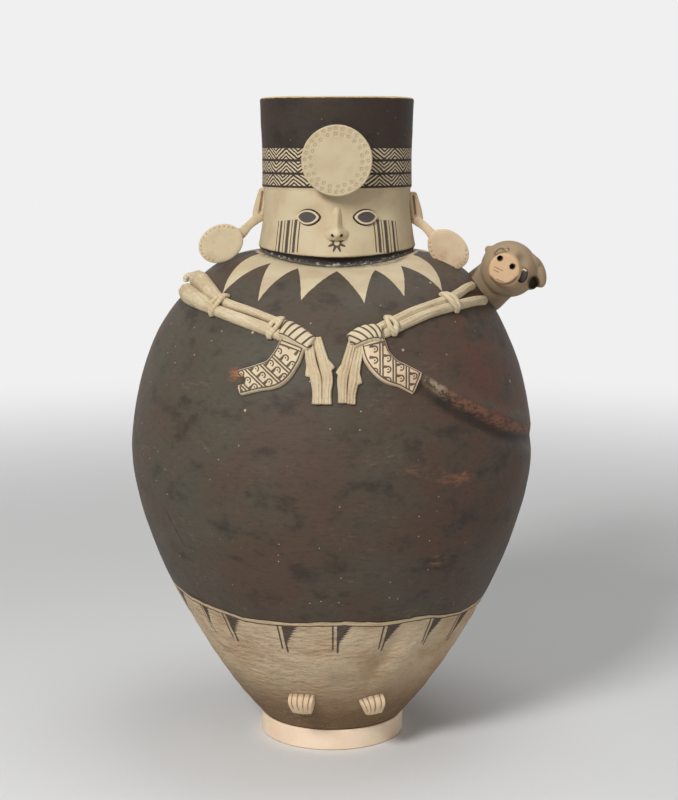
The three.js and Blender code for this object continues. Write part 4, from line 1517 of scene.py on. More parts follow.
@dataclass
class Head:
    """The neck as a head in a banded hat, with a nose and two eye pads."""

    wall: float = 7.0
    segments: int = 288
    row_tall: float = 12.4
    rows: int = 3
    zigzags: int = 16
    band_top: float = 590.2
    lip_paint: float = 636.15
    stripe_middle: float = 506.0
    stripe_reach: float = 15.5
    stripes: Pairs = (
        (50.0, 0.42), (46.6, 1.05), (43.0, 0.42), (39.4, 1.45), (35.9, 0.42), (32.9, 1.2), (29.4, 0.5))

    def mesh(self) -> Mesh:
        """The neck's wall, closed over the lip and down the inside.

        Returns:
            The mesh.
        """
        outside = NECK_WALL.outline()
        rim = NECK_WALL.rim
        lip = [(NECK_WALL.rim_radius - self.wall / 2 - (self.wall / 2) * cos(a),
                rim - 3 + 3 * sin(a)) for a in (radians(180 - d) for d in range(10, 180, 10))]
        inside = [(r - self.wall, h) for r, h in reversed(outside[::2])]
        bm = turned_mesh([*outside, *lip, *inside, outside[0]], self.segments)
        jaw = bm.verts.layers.float.new("jaw")
        inner = bm.verts.layers.float.new("inner")
        foot = bm.verts.layers.float.new("foot")
        for vert in bm.verts:
            radius = hypot(vert.co.x, vert.co.y)
            angle = angle_of(vert.co)
            outer = radius > NECK_WALL.radius_at(vert.co.z) - self.wall * 0.6
            height = vert.co.z
            if outer:
                place = NECK_WALL.form(angle, radius, height)
                uneven = 0.35 * (noise.noise(place / 24) - 1) + 0.1 * (noise.noise(place / 8) - 1)
                place += polar(angle, uneven * smoothstep(height, 486, 500), 0)
            else:
                level = smoothstep(height, NECK_WALL.foot + 1.7, FACE.mouth + 24)
                lifted = height + (1 - level) * NECK_WALL.saddle.at(angle)
                place = polar(angle, radius, lifted)
                place.x += NECK_WALL.saddle.lean
            wave = noise.noise(Vector((sin(radians(angle)), cos(radians(angle)), 0)) * 2)
            place.z -= 0.7 * (1 + wave) * smoothstep(height, rim - 30, rim)
            vert[jaw] = place.z - NECK_WALL.jaw(angle)
            vert[inner] = 0.0 if outer else 1.0
            vert[foot] = place.z - NECK_WALL.foot - NECK_WALL.saddle.at(angle)
            vert.co = place
        return bm

    def zigzag(self, s: Shader, angle: Socket, z: Socket) -> Socket:
        """The pale lines of the hat's three bands of nested zigzags.

        Args:
            s: The material.
            angle: The angle from the front.
            z: The height.

        Returns:
            Their mask.
        """
        level = (z - FACE.hat_edge - 1.0) / self.row_tall
        row = level.floor()
        wander = (s.noise(14, 2, 0.5, seed=6.6) - 0.5) * 0.35
        turn = angle * (self.zigzags / FULL_TURN) + row.math("MINIMUM", 1.0) * 0.32 + wander * 0.5
        slope = abs(turn.fraction() - 0.5) * 2
        up = (level.fraction() - 0.1) / 0.8
        nested = abs(up + slope - 1) + (s.noise(1.5, 2, 0.5, seed=7.2) - 0.5) * 0.06
        pale = nested.near(0.2, 0.09, 0.03) | nested.near(0.55, 0.08, 0.03) | nested.rises(0.8, 0.85)
        return pale & up.near(0.5, 0.5, 0.03) & level.near(self.rows / 2, self.rows / 2, 0.01)

    def star(self, s: Shader, angle: Socket, z: Socket) -> Socket:
        """The eight pointed star round the mouth.

        Args:
            s: The material; not used.
            angle: The angle from the front.
            z: The height.

        Returns:
            Its mask.
        """
        along = angle * (radians(1) * 80)
        rise = z - FACE.mouth
        far = (along * along + rise * rise).math("SQRT")
        ray = rise.math("ARCTAN2", along) * (8 / tau)
        spike = 1 - abs(ray.fraction() - 0.5) * 2
        reach = spike.rises(0.15, 1.0) * 4.6 + 4.6
        return (reach - far).rises(-0.3, 0.3) & far.rises(2.3, 2.9)

    def cheeks(self, angle: Socket, z: Socket) -> Socket:
        """The stripes painted down both cheeks."""
        aside = abs(angle)
        lines = any_of([aside.near(at, half, 0.18) for at, half in self.stripes])
        leant = z + (aside - 40) * 0.12
        return lines & leant.near(self.stripe_middle, self.stripe_reach, 0.5)

    def finish(self) -> Material:
        """Cream face, banded hat and black above and below, with the face and the hat's top darkened as
        painted shade.

        Returns:
            The material.
        """
        s = Shader("head_slip")
        x, y, z = s.axes()
        angle = s.angle(x - NECK_WALL.saddle.lean, y)
        soft = (s.noise(8, 3, 0.6, seed=3.9) - 0.5) * 1.1
        above = z + soft * 0.35
        worn = s.noise(2.4, 4, 0.7, seed=8.3).rises(0.62, 0.75)
        # The face's cream is tinted darker all over: painted shade under the hat.
        face = s.layers(
            CREAM.colour(s, 0.35), (0.3, paint(172, 157, 126)), self.blush(s),
            ((self.star(s, angle, z) | self.cheeks(angle, z)) * (1 - worn * 0.6) * 0.94, LINE))
        zigzag = self.zigzag(s, angle, z)
        hat = s.mix(zigzag * 0.95, paint(58, 47, 42), paint(204, 187, 156))
        scuff = s.noise(2.6, 4, 0.7, (1.6, 1.6, 1), 2.7)
        foot = s["foot"]
        under = s.layers(
            paint(44, 38, 36), (foot.rises(3.4, 0.4) * 0.6, paint(118, 110, 100)),
            ((scuff.rises(0.54, 0.62) & foot.rises(4.2, 2.0)) * 0.8, paint(190, 182, 166)))
        jaw = s["jaw"] + soft * 1.3 - 1.1
        colour = s.layers(
            face,
            (above.rises(FACE.hat_edge - 0.4, FACE.hat_edge + 0.4), hat),
            # Above the bands: black slip, darkened further as painted shade over the hat's top.
            (above.rises(self.band_top - 0.4, self.band_top + 0.4),
             s.mix(0.6, BLACK.colour(s, 0.05, 0.25, 0.0), paint(31, 25, 23))),
            ((above + soft).rises(self.lip_paint - 0.45, self.lip_paint + 0.45) * 0.9, paint(205, 176, 132)),
            (jaw.rises(0.5, -0.5), under),
            (s["inner"], s.mix(z.rises(560, 630), CLAY_BARE, paint(116, 92, 74))))
        rough = 0.68 + s.noise(12, 3, seed=1.9) * 0.16 - above.rises(self.band_top, self.band_top + 2) * 0.1
        return s.finish(colour, rough, clay_grain(s, 0.07) + zigzag * 0.08)

    def blush(self, s: Shader) -> tuple[Socket, Colour]:
        """Where and how the cream of the face turns warmer."""
        return s.noise(20, 3, 0.5, seed=5.1).rises(0.5, 0.75) * 0.35, paint(190, 160, 124)

    def nose(self) -> None:
        """A pinched nose with two nostrils, its edges worked into the face."""
        stops = [Vector(p) for p in (
            (FACE.brow + 4, 2.4, 1.2), (FACE.brow - 3, FACE.nose_bridge / 2, 4.6),
            (FACE.brow - 13, FACE.nose_bridge / 2 + 0.8, 7.6),
            (FACE.nose_base + 5, FACE.nose_wing / 2 - 0.6, FACE.nose_proud),
            (FACE.nose_base + 1, FACE.nose_wing / 2, FACE.nose_proud - 1),
            (FACE.nose_base - 2.5, FACE.nose_wing / 2 - 2.5, 2.5))]

        def place(run: float, turn: float) -> Vector:
            """A point of the nose's skin."""
            stop = spline(stops, run)
            height, half, proud = stop.x, max(1.0, stop.y), max(0.4, stop.z)
            across, lift = cos(turn), sin(turn)
            wall = NECK_WALL.skin(degrees(across * half * 1.25 / FACE.curve), height)
            shape = (1 - abs(across) ** 1.7) if lift > 0 else 0.0
            sunk = 0.8 if lift <= 0 else 0.25
            return wall + Vector((0, sunk - proud * shape * (0.25 + 0.75 * abs(lift)), 0))

        bm = fused([bend(tube(48, 60), place)], 0.55, 4)
        tip = NECK_WALL.skin(0, FACE.nose_base)
        pits = [tip + Vector((side.value * 4.4, -FACE.nose_proud * 0.62, 0.6)) for side in Side]

        def drill(point: Vector, normal: Vector) -> Vector:
            """Sinks the nostrils."""
            depth = sum(bell(hypot(point.x - p.x, point.y - p.y), 1.15)
                        * smoothstep(p.z + 3.2 - point.z, 0, 2.4) for p in pits)
            return Vector((0, 0, 2.6 * depth))

        sculpt(bm, drill)
        above = Vector((0, 0, 1))
        tag(bm, "pit", lambda v: clamp(sum(bell((v.co - p - above).length, 1.7) for p in pits)))
        s = Shader("nose_slip")
        # The nostrils and the rim round them get painted shade.
        dark = s["pit"].rises(0.35, 0.7)
        colour = s.layers(CREAM.colour(s, 0.35), self.blush(s), (dark, CRACK_AND_SHADE))
        settle(("nose",), bm, s.finish(colour, 0.76, clay_grain(s, 0.07)))

    def eye(self, side: Side) -> None:
        """An almond pad with a raised lid round a flat dark eye.

        Args:
            side: Which eye it is.
        """
        def place(run: float, turn: float) -> Vector:
            """A point of the pad's skin."""
            full = 1 - run
            across, rise = cos(turn), sin(turn)
            pointed = 1 - 0.34 * abs(across) ** 3
            along = full * across * FACE.eye_width / 2
            tall = full * rise * FACE.eye_tall / 2 * pointed
            lid = smoothstep(full, 1.0, 0.84) * FACE.eye_proud
            sunk = smoothstep(full, 0.68, 0.6) * 0.7
            dome = (1 - full * full) * 0.9
            angle = side.value * FACE.eye_angle + degrees(along / FACE.curve)
            out = NECK_WALL.outward(angle, FACE.eye + tall)
            return NECK_WALL.skin(angle, FACE.eye + tall) + out * (lid - sunk + dome - 0.9)

        bm = tube(72, 40)
        tag(bm, "rim", lambda v: 1 - v[bm.verts.layers.float["run"]])
        bend(bm, place)
        s = Shader(f"eye_slip_{side.word}")
        rim = s["rim"] + (s.noise(3, 2, seed=4.1) - 0.5) * 0.03
        colour = s.layers(
            CREAM.colour(s, 0.3), (rim.rises(0.64, 0.61), paint(78, 72, 70)),
            (rim.near(0.66, 0.03, 0.012) | rim.rises(0.86, 0.89), paint(52, 43, 40)))
        settle((f"eye_{side.word}",), bm, s.finish(colour, 0.7, clay_grain(s)), kind="pad")

    def build(self) -> None:
        """Makes the head."""
        settle(("neck_head",), self.mesh(), self.finish())
        self.nose()
        for side in Side:
            self.eye(side)


@dataclass
class HatDisc:
    """The round disc in front of the hat, with two rows of punched rings."""

    radius: float = 33.0
    thick: float = 4.5
    rise: float = 26.0
    standoff: float = 10.0
    edge: float = 1.3
    rows: Pairs = ((29.2, 28), (24.2, 22))
    plain: float = 21.0
    mark: float = 1.3
    line: float = 0.42
    depth: float = 0.6

    def build(self) -> None:
        """Turns the disc face up, punches it, and stands it before the hat."""
        curve = [(cos(radians(a)), sin(radians(a))) for a in range(90, -91, -15)]
        rim = [(self.radius - self.edge * (1 - x),
                (self.thick / 2 - self.edge if y >= 0 else -self.thick / 2 + self.edge) + self.edge * y)
               for x, y in curve]
        flat = self.radius - self.edge
        face = [(self.plain * i / 9, self.thick / 2) for i in range(9)]
        face += [(lerp(self.plain, flat, i / 33), self.thick / 2) for i in range(33)]
        back = [(flat * (1 - i / 10), -self.thick / 2) for i in range(1, 11)]
        bm = turned_mesh([*face, *rim, *back], 480)
        marks = [polar(FULL_TURN * (k + 0.12 * sin(5 * k)) / count + 4 * row,
                       far + 0.3 * sin(3.7 * k), 0)
                 for row, (far, count) in enumerate(self.rows) for k in range(count)]

        def stamp(point: Vector) -> float:
            """How deep the punch has gone at a point."""
            if point.z < self.thick / 2 - 0.2 or hypot(point.x, point.y) < self.plain:
                return 0.0
            near = sqrt(min((point.x - m.x) ** 2 + (point.y - m.y) ** 2 for m in marks))
            return bell(near - self.mark, self.line) + 0.3 * bell(near, self.mark / 2)

        punched = bm.verts.layers.float.new("punched")
        wall = NECK_WALL.skin(0, FACE.hat_edge + self.rise)
        wall.y -= self.standoff + self.thick / 2
        stand = Matrix.Translation(wall) @ Matrix.Rotation(radians(90), 4, "X")
        for vert in bm.verts:
            deep = stamp(vert.co)
            vert[punched] = deep
            wavy = 1 + 0.008 * noise.noise(vert.co * 0.05 + Vector((4, 0, 0)))
            point = Vector((vert.co.x * wavy, vert.co.y * wavy, vert.co.z - self.depth * deep))
            point.z += 0.3 * noise.noise(vert.co / 14)
            vert.co = stand @ point
        s = Shader("disc_slip")
        colour = s.layers(
            # Tinted darker all over: painted shade.
            CREAM.colour(s, 0.4), (0.45, paint(172, 157, 126)),
            (s.noise(11, 4, 0.6, seed=6.7).rises(0.48, 0.7) * 0.3, paint(176, 160, 130)),
            # Painted shade in the punched rings.
            (s["punched"].rises(0.3, 1.0) * 0.32, paint(134, 113, 82)))
        settle(("hat_disc",), bm, s.finish(colour, 0.8, clay_grain(s, 0.08)))
        self.dress_peg()

    def dress_peg(self) -> None:
        """Gives the peg behind the disc its finish."""
        s = Shader("peg_slip")
        colour = s.shade(CREAM.colour(s, 0.6), s.noise(6, 3, seed=2.0), 0.7)
        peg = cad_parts["hat_disc_peg"]
        peg.data.materials.clear()
        peg.data.materials.append(s.finish(colour, 0.82, clay_grain(s)))


@dataclass
class Ear:
    """A folded ear flap that runs out into a long lobe, with its round ornament."""

    side: Side
    top: Triple
    turn: Triple
    lobe: Triple
    disc: Triple
    long: float = 22.5
    wide: float = 18.0
    thick: float = 4.5
    lobe_radius: float = 4.2

    def point(self, given: Triple) -> Vector:
        """A place out from the temple, forward of the neck's axis and up from the chin."""
        out, depth, rise = given
        x = NECK_WALL.saddle.lean + self.side.value * (NECK_WALL.temple_radius + out)
        return Vector((x, -depth, FACE.chin + rise))

    @property
    def lean(self) -> float:
        """How far the disc is turned, so that it lies along the lobe."""
        along = self.point(self.disc) - self.point(self.lobe)
        return atan2(along.z, along.x)

    def parts(self) -> list[Mesh]:
        """The flap, the lobe and the disc, still separate.

        Returns:
            Their meshes, which overlap.
        """
        top, turn, lobe, disc = (self.point(p) for p in (self.top, self.turn, self.lobe, self.disc))
        radius, sign = self.lobe_radius, self.side.value
        inward = Vector((-sign * 3.2, 0, 0))
        flap = limb([
            (top, 2.2), (top.lerp(turn, 0.3), radius - 0.4), (top.lerp(turn, 0.7), radius + 1.2),
            (turn + Vector((0, 0, -1)), radius + 1.0), (turn + Vector((-sign * 2, 0, -6)), 2.4)], flat=0.55)
        back = limb([(top + inward, 2.0), (top.lerp(turn, 0.5) + inward, radius + 0.6),
                     (turn + inward, 3.4)], flat=1.1)
        strap = limb([
            (turn + Vector((-sign * 5, 0, 2)), radius + 1.4), (turn.lerp(lobe, 0.5), radius + 0.2),
            (lobe, radius + 1.2), (lobe.lerp(disc, 0.35), radius + 4), (lobe.lerp(disc, 0.6), radius + 6.5)],
            flat=0.42)
        place = Matrix.Translation(disc) @ Matrix.Rotation(-self.lean, 4, "Y")

        def plate(run: float, around: float) -> Vector:
            """A point of the disc."""
            full = sqrt(max(0.0, 1 - abs(2 * run - 1) ** 6))
            across = (run - 0.5) * self.thick
            return place @ Vector((cos(around) * self.long * full, across, sin(around) * self.wide * full))

        return [flap, back, strap, bend(tube(72, 24), plate)]

    def shape(self, bm: Mesh) -> None:
        """Dishes the disc, pricks its rim and opens the flap, and tags where dirt and painted shade lie.

        Args:
            bm: The ear's mesh.
        """
        disc, top, turn = (self.point(p) for p in (self.disc, self.top, self.turn))
        flat = Matrix.Rotation(self.lean, 3, "Y")
        pricks = [Vector((cos(a) * (self.long - 2.6), 0, sin(a) * (self.wide - 2.4)))
                  for a in (radians(d) for d in range(-150, 60, 14))]

        def far_out(point: Vector) -> float:
            """How far out on the disc a point is."""
            local = flat @ (point - disc)
            return hypot(local.x / self.long, local.z / self.wide)

        def prick(point: Vector) -> float:
            """How deep it is pricked at a point."""
            local = flat @ (point - disc)
            if point.y > disc.y or not 0.6 < far_out(point) < 1.0:
                return 0.0
            return bell(min(hypot(local.x - p.x, local.z - p.z) for p in pricks), 0.8)

        def fold(point: Vector, spread: float) -> float:
            """How near a point is to the flap's fold."""
            share = (point.z - turn.z) / (top.z - turn.z)
            return bell(point.x - lerp(turn.x, top.x, share) + self.side.value * 1.6, spread)

        def press(point: Vector, normal: Vector) -> Vector:
            """Dishes the disc and opens the flap."""
            if normal.y > -0.3:
                return Vector()
            hollow = smoothstep(far_out(point), 0.92, 0.3) * 1.1 + prick(point) * 0.6
            slit = fold(point, 0.9) * 3.2 if point.z > turn.z + 2 else 0.0
            return Vector((0, hollow + slit * smoothstep(top.z - 1 - point.z, 0, 5), 0))

        def dirt(vert: bmesh.types.BMVert) -> float:
            """How much dirt and painted shade lie on a vertex, in the pricks and along the flap's fold."""
            inside = smoothstep(vert.co.z, turn.z + 2, turn.z + 6) * smoothstep(top.z - vert.co.z, 1, 5)
            return clamp(prick(vert.co) * 0.9 + fold(vert.co, 1.0) * inside)

        sculpt(bm, press)
        tag(bm, "dirt", dirt)

    def build(self) -> None:
        """Works the parts into one ear, and dresses it."""
        bm = fused(self.parts(), 0.75, 5)
        self.shape(bm)
        word = self.side.word
        s = Shader(f"ear_slip_{word}")
        slip = CREAM if self.side is Side.LEFT else PINK
        colour = s.layers(
            slip.colour(s, 0.35), (0.15, paint(160, 140, 110)),
            (s.noise(9, 4, 0.6, seed=3.4).rises(0.55, 0.7) * 0.3, paint(172, 136, 88)),
            # Dirt and painted shade in the pricks and the flap's fold.
            (s["dirt"].rises(0.3, 0.9) * 0.7, paint(96, 74, 52)))
        settle((f"ear_{word}", f"ear_disc_{word}"), bm, s.finish(colour, 0.76, clay_grain(s)), Slot.PINK)


def drops(stops: Stops) -> list[Triple]:
    """Turns (angle, drop below the shoulder, half width) into heights."""
    return [(angle, JAR_WALL.seam_height - drop, half) for angle, drop, half in stops]


@dataclass
class CarriedAnimal:
    """The small animal carried round the shoulders: head, legs, cords, leg ends and tail."""

    head_radius: float = 27.0
    neck_radius: float = 22.3
    snout_radius: float = 15.0
    snout_reach: float = 37.0
    nostril: float = 2.5
    cup: Triple = (7.0, 10.0, 8.5)
    mouth: Stops = ((3.2, -15.3, 2.2), (6.4, -15.6, 2.4), (3.3, -11.4, 2.2), (13.6, -12, 3.2))
    roll: float = 38.0
    reach: Triple = (20.3, -38.0, 24.3)
    cord_radius: float = 2.45
    cord_lift: float = 7.5
    slit: float = 1.8
    legs: dict[str, Stops] = field(default_factory=lambda: {
        "hind_leg_upper": drops([(-81, 24, 8.6), (-70, 24.4, 9), (-58, 28, 7.8), (-43, 36, 5),
                                 (-29.3, 41.7, 4), (-17.5, 50, 4), (-12, 56, 4)]),
        "hind_leg_lower": drops([(-79, 33.5, 8), (-68, 35.4, 9.2), (-57, 38, 8.2), (-44.5, 43.2, 5.8),
                                 (-30, 50.2, 6), (-18.5, 58, 6), (-13, 64, 5)]),
        "fore_leg_upper": drops([(70, 27, 4.5), (60, 28, 4.5), (45, 34, 5), (29.6, 40.5, 4.5),
                                 (19, 49.5, 4.5), (13, 56, 4)]),
        "fore_leg_lower": drops([(71, 40, 5), (60, 38.5, 5), (46, 40, 5), (33, 44.5, 4.8),
                                 (20.5, 54.5, 4.8), (15, 61, 4)]),
    })
    ends: dict[str, Stops] = field(default_factory=lambda: {
        "hind_hoof_outer": drops([(-7.6, 62, 4.5), (-6.6, 71, 4.6), (-5.6, 84, 5), (-4.2, 97, 5.1),
                                  (-3.8, 108, 4.5), (-3.7, 118.5, 5)]),
        "hind_hoof_inner": drops([(-4.8, 62, 4.5), (-3.6, 70, 4.6), (-2.1, 83, 5), (-1, 96, 5),
                                  (-1.2, 108, 4.3), (-1.2, 118.5, 4.8)]),
        "fore_hoof_outer": drops([(8.8, 64, 4), (8, 75, 4.2), (7, 86, 4.6), (6.2, 99, 4.8),
                                  (5.6, 109, 4), (5.3, 118.5, 4.2)]),
        "fore_hoof_inner": drops([(6.4, 64, 4), (5.4, 74, 4.2), (4.4, 84, 4.6), (3.2, 96, 4.8),
                                  (3.1, 108, 4.1), (3.1, 117.5, 4.3)]),
    })
    spurs: dict[str, Sequence[float]] = field(default_factory=lambda: {
        "hind_hoof_outer": (-3.2, 0.55), "hind_hoof_inner": (3.4, 0.5),
        "fore_hoof_outer": (3.2, 0.66), "fore_hoof_inner": (-2.2, 0.56),
    })
    ties: dict[str, Pairs] = field(default_factory=lambda: {
        "hind_tie_outer": ((-43.2, 30.5), (-45.2, 48.5)),
        "hind_tie_inner": ((-16.6, 46.5), (-19.6, 63.5)),
        "fore_tie_outer": ((43, 29), (46.5, 45.5)),
        "fore_tie_inner": ((17.4, 45.5), (19.5, 61)),
    })
    tail: Quads = (
        (1, -9, 1, 4.2), (-6, -3, 4.2, 3.2), (-11.2, -1, 2.2, 2.9), (-12, -1, -2.2, 2.8))
    rump_pit: Triple = (-65.5, 24.0, 9.0)

    @property
    def foot(self) -> Vector:
        """Where the neck stands on the shoulder."""
        return JAR_WALL.skin(90, JAR_WALL.seam_height - 35)

    @property
    def centre(self) -> Vector:
        """The middle of the head."""
        return self.foot + Vector(self.reach)

    def on_head(self, x: float, y: float, z: float, roll: float | None = None) -> Matrix:
        """A place on the head, tipped as the head is."""
        turn = self.roll if roll is None else roll
        return (Matrix.Translation(self.centre + Vector((x, y, z)))
                @ Matrix.Rotation(radians(turn), 4, "Y"))

    def pits(self) -> list[Vector]:
        """Where the nostrils are."""
        return [self.centre + Vector((x, -self.snout_reach, z)) for x, z in ((-12, 12.5), (-0.5, 5))]

    def head(self) -> None:
        """Head, neck, snout and ears, worked into one."""
        centre, radius = self.centre, self.head_radius
        nose = Vector((-8.5, -self.snout_reach, 2))
        snout = limb([(centre + nose * share, self.snout_radius + more)
                      for share, more in ((0.3, 3), (0.62, 1.2), (0.9, 0.2), (1, -0.8))],
                     48, 40, facing=Vector((0, 0, 1)))
        foot, girth = self.foot, self.neck_radius
        neck = limb([(foot - Vector((6, -6, 6)), girth), (foot, girth + 1),
                     (foot.lerp(centre, 0.4), girth), (centre, girth)], 48, 40)
        skull = ball(self.on_head(0, 0, 0), radius * 1.02, radius * 1.04, radius)
        leaf = ball(self.on_head(26.5, -2, -2.5, -20), 8.5, 7.5, 16.5)
        knob = ball(self.on_head(-19.5, 2, 18.5), 4, 4, 4)
        brim = ball(self.on_head(22.5, -6, 9, -42), 4.5, 6.5, 9.5)
        lobe = ball(self.on_head(20.5, -4, -13, 20), 7.5, 6.5, 7)
        bm = fused([skull, neck, snout, leaf, knob, brim, lobe], 0.85, 6)
        in_place = self.on_head(22.5, -10, -12.5, -30).inverted()
        wide, deep, tall = self.cup
        hollow = centre + Vector((10.5, -24, 13))
        tip = centre + nose

        def under(point: Vector) -> float:
            """How near a point is to the groove under the snout."""
            x, z = point.x - tip.x, point.z - tip.z
            low = smoothstep(-z, 4, 9) * smoothstep(point.y - tip.y, 14, 9)
            return low * bell(hypot(x, z) - self.snout_radius + 1.2, 0.9)

        def in_cup(point: Vector) -> float:
            """How far out in the ear's hollow a point is."""
            local = in_place @ point
            return hypot(local.x / wide, local.z / tall)

        def shape(point: Vector, normal: Vector) -> Vector:
            """Sinks the nostrils and the hollows."""
            step = Vector()
            for pit in self.pits():
                away = hypot(point.x - pit.x, point.z - pit.z)
                if point.y < pit.y + 8:
                    step.y += 7.0 * smoothstep(away, self.nostril + 0.5, self.nostril - 0.6)
            local = in_place @ point
            inside = 1 - sqrt((local.x / wide) ** 2 + (local.y / deep) ** 2 + (local.z / tall) ** 2)
            if inside > 0 and normal.y < 0.2:
                step += Vector((-2.0, 7.5, 1.0)) * smoothstep(inside, 0, 0.5)
            step -= normal * (3.0 * bell((point - hollow).length, 3.6))
            step.y += 1.6 * under(point)
            return step

        sculpt(bm, shape)
        tag(bm, "pit", lambda v: clamp(sum(
            smoothstep(hypot(v.co.x - p.x, v.co.z - p.z), 3.1, 2.2) for p in self.pits())
            if v.co.y < centre.y - 22 else 0.0))
        tag(bm, "cup", lambda v: smoothstep(
            in_cup(v.co), 1.1, 0.6) if v.co.x > centre.x + 14 and v.co.y < centre.y + 0.5 else 0.0)
        tag(bm, "snout", lambda v: smoothstep(centre.y - v.co.y, 20, 30))
        tag(bm, "lip", lambda v: under(v.co))
        tag(bm, "dimple", lambda v: bell((v.co - hollow).length, 3.4))
        settle(("animal_head", "animal_snout", "animal_ear_left", "animal_ear_right"), bm, self.head_finish())

    def head_finish(self) -> Material:
        """Cream head with a pinkish snout and painted brow, with painted shade in its hollows, its nostrils
        and the groove under the snout.

        Returns:
            The material.
        """
        s = Shader("animal_slip")
        x, _, z = s.axes()
        across, rise = x - self.centre.x, z - self.centre.z
        snout = s["snout"]
        strokes = [(rise + across * 0.45 + level).near(0, 0.5, 0.25) & across.near(middle, half, 0.5)
                   for level, middle, half in self.mouth]
        colour = s.layers(
            self.fur(s),
            (snout, s.mix(0.7, PINK.colour(s, 0.25), paint(198, 161, 119))),
            *((stroke * snout * 0.7, paint(104, 74, 50)) for stroke in strokes),
            # Painted shade in the groove under the snout, the forehead hollow, the ear's cup and the
            # nostrils.
            (s["lip"] * 0.85, paint(78, 56, 40)),
            (s["dimple"] * 0.7, paint(70, 62, 50)),
            (s["cup"] * 0.92, paint(54, 40, 31)),
            (s["pit"], paint(26, 16, 11)))
        return s.finish(colour, 0.76, clay_grain(s, 0.09))

    def fur(self, s: Shader) -> Link:
        """The head's dull cream, browned all over, partly its own tan and partly painted shade, and greyer in
        places.
        """
        grey = s.noise(16, 3, 0.55, seed=7.9).rises(0.42, 0.6)
        # The browner tint is partly the clay's tan and partly painted shade.
        return s.layers(CREAM.colour(s, 0.6), (0.8, paint(146, 120, 92)), (grey * 0.5, paint(140, 128, 106)))

    def bulging(self, s: Shader, across: Socket, rise: Socket) -> Link:
        """The colour of a dark eye with a pale lid, whose crescent along the top is also a painted highlight.

        Args:
            s: The material.
            across: The place across the eye.
            rise: The place up the eye.

        Returns:
            The colour.
        """
        lean, high = across - rise * 0.12, rise + 0.2
        oval = (lean * lean / 24 + high * high / 50).math("SQRT")
        # The lid's pale crescent along the top of the eye is also a painted highlight.
        lid = oval.near(0.8, 0.1, 0.04) & (rise - lean * 0.35).rises(2.2, 3.2)
        return s.layers(
            self.fur(s), (oval.rises(1.06, 1.0), paint(38, 30, 26)),
            (oval.rises(0.86, 0.8), paint(72, 62, 58)), (lid, paint(222, 200, 168)))

    def painted(self, s: Shader, across: Socket, rise: Socket) -> Link:
        """The colour of an eye that is only an arch and a dot.

        Args:
            s: The material.
            across: The place across the eye.
            rise: The place up the eye.

        Returns:
            The colour.
        """
        arch = (rise + (across + 0.3) * (across + 0.3) * 0.105).near(2.5, 1.0, 0.3)
        arch = arch & across.near(-2.2, 4.4, 0.5)
        dot = ((across - 4.9) * (across - 4.9) + (rise - 1) * (rise - 1)).math("SQRT")
        return s.layers(
            self.fur(s), (arch * 0.8, paint(88, 74, 62)),
            (dot.rises(2.0, 1.6) & across.rises(4.4, 5.2), paint(92, 76, 62)),
            (dot.rises(1.2, 0.9), paint(214, 184, 156)))

    def eyes(self) -> None:
        """The bulging dark eye and the small painted one."""
        for side, place, radii, look in (
                (Side.LEFT, self.on_head(-9.0, -17, 18.4, -18), (8.2, 5.2, 4.6), self.painted),
                (Side.RIGHT, self.on_head(10.0, -25.5, -3.6, 4), (6.2, 6.8, 8.2), self.bulging)):
            name = f"animal_eye_{side.word}"
            s = Shader(f"{name}_slip")
            x, _, z = s.axes()
            middle = place.translation
            colour = look(s, x - middle.x, z - middle.z)
            settle((name,), ball(place, *radii), s.finish(colour, 0.5, clay_grain(s, 0.04)), Slot.BLACK)

    def limb_finish(self) -> Material:
        """Cream slip with long thumb strokes, and painted shade along the edges where it meets the wall.

        Returns:
            The material.
        """
        s = Shader("leg_slip")
        strokes = s.value("ShaderNodeTexNoise", None, {
            "Vector": s.node("ShaderNodeCombineXYZ", None, {
                0: s["way"] * 0.035, 1: s["across"] * 4.2}).outputs[0],
            "Scale": 1.0, "Detail": 4.0, "Roughness": 0.6})
        colour = s.layers(
            CREAM.colour(s, 0.45, 0.12), (strokes.rises(0.52, 0.7) * 0.5, paint(160, 140, 106)),
            (strokes.near(0.5, 0.012, 0.012) * 0.55, paint(104, 84, 58)),
            # Painted shade along the edges where the clay meets the wall.
            (s["up"].rises(0.3, 0.06) * 0.85, CRACK_AND_SHADE))
        return s.finish(colour, 0.78, strokes * 0.5 + clay_grain(s))

    def legs_and_ends(self) -> None:
        """The four legs and the four ends that hang below the fists."""
        finish = self.limb_finish()
        for name, stops in self.legs.items():
            clay = LaidClay(stops, fullness=1.1, square=1.15, end_round=6, rings=130, strands=0.3)
            bm = clay.mesh()
            if name == "hind_leg_upper":
                self.dent_rump(bm)
            settle((name,), bm, finish)
        for name, stops in self.ends.items():
            size, at = self.spurs[name]
            clay = LaidClay(stops, fullness=0.75, square=1.5, end_round=0.8, rings=130, sides=64,
                            strands=0.5, wobble=0.7, spur=size, spur_at=at)
            settle((name,), clay.mesh(), finish)

    def dent_rump(self, bm: Mesh) -> None:
        """Presses the small pit on the rump.

        Args:
            bm: The upper hind leg's mesh.
        """
        angle, drop, rise = self.rump_pit
        height = JAR_WALL.seam_height - drop
        pit = JAR_WALL.skin(angle, height) + JAR_WALL.outward(angle, height) * rise

        def press(point: Vector, normal: Vector) -> Vector:
            """Sinks the pit."""
            return normal * (-1.8 * bell((point - pit).length, 1.6))

        sculpt(bm, press)

    def cord_finish(self) -> Material:
        """Clay cords with a hint of their twist, with painted shade in its grooves."""
        s = Shader("cord_slip")
        x, _, z = s.axes()
        twist = ((x * 0.9 + z * 1.3) * 1.1).math("SINE")
        # The twist's grooves are darkened as painted shade.
        colour = s.mix(twist.rises(-0.5, -1.0) * 0.3, CREAM.colour(s, 0.4), paint(150, 128, 94))
        return s.finish(colour, 0.78, twist * 0.12 + clay_grain(s))

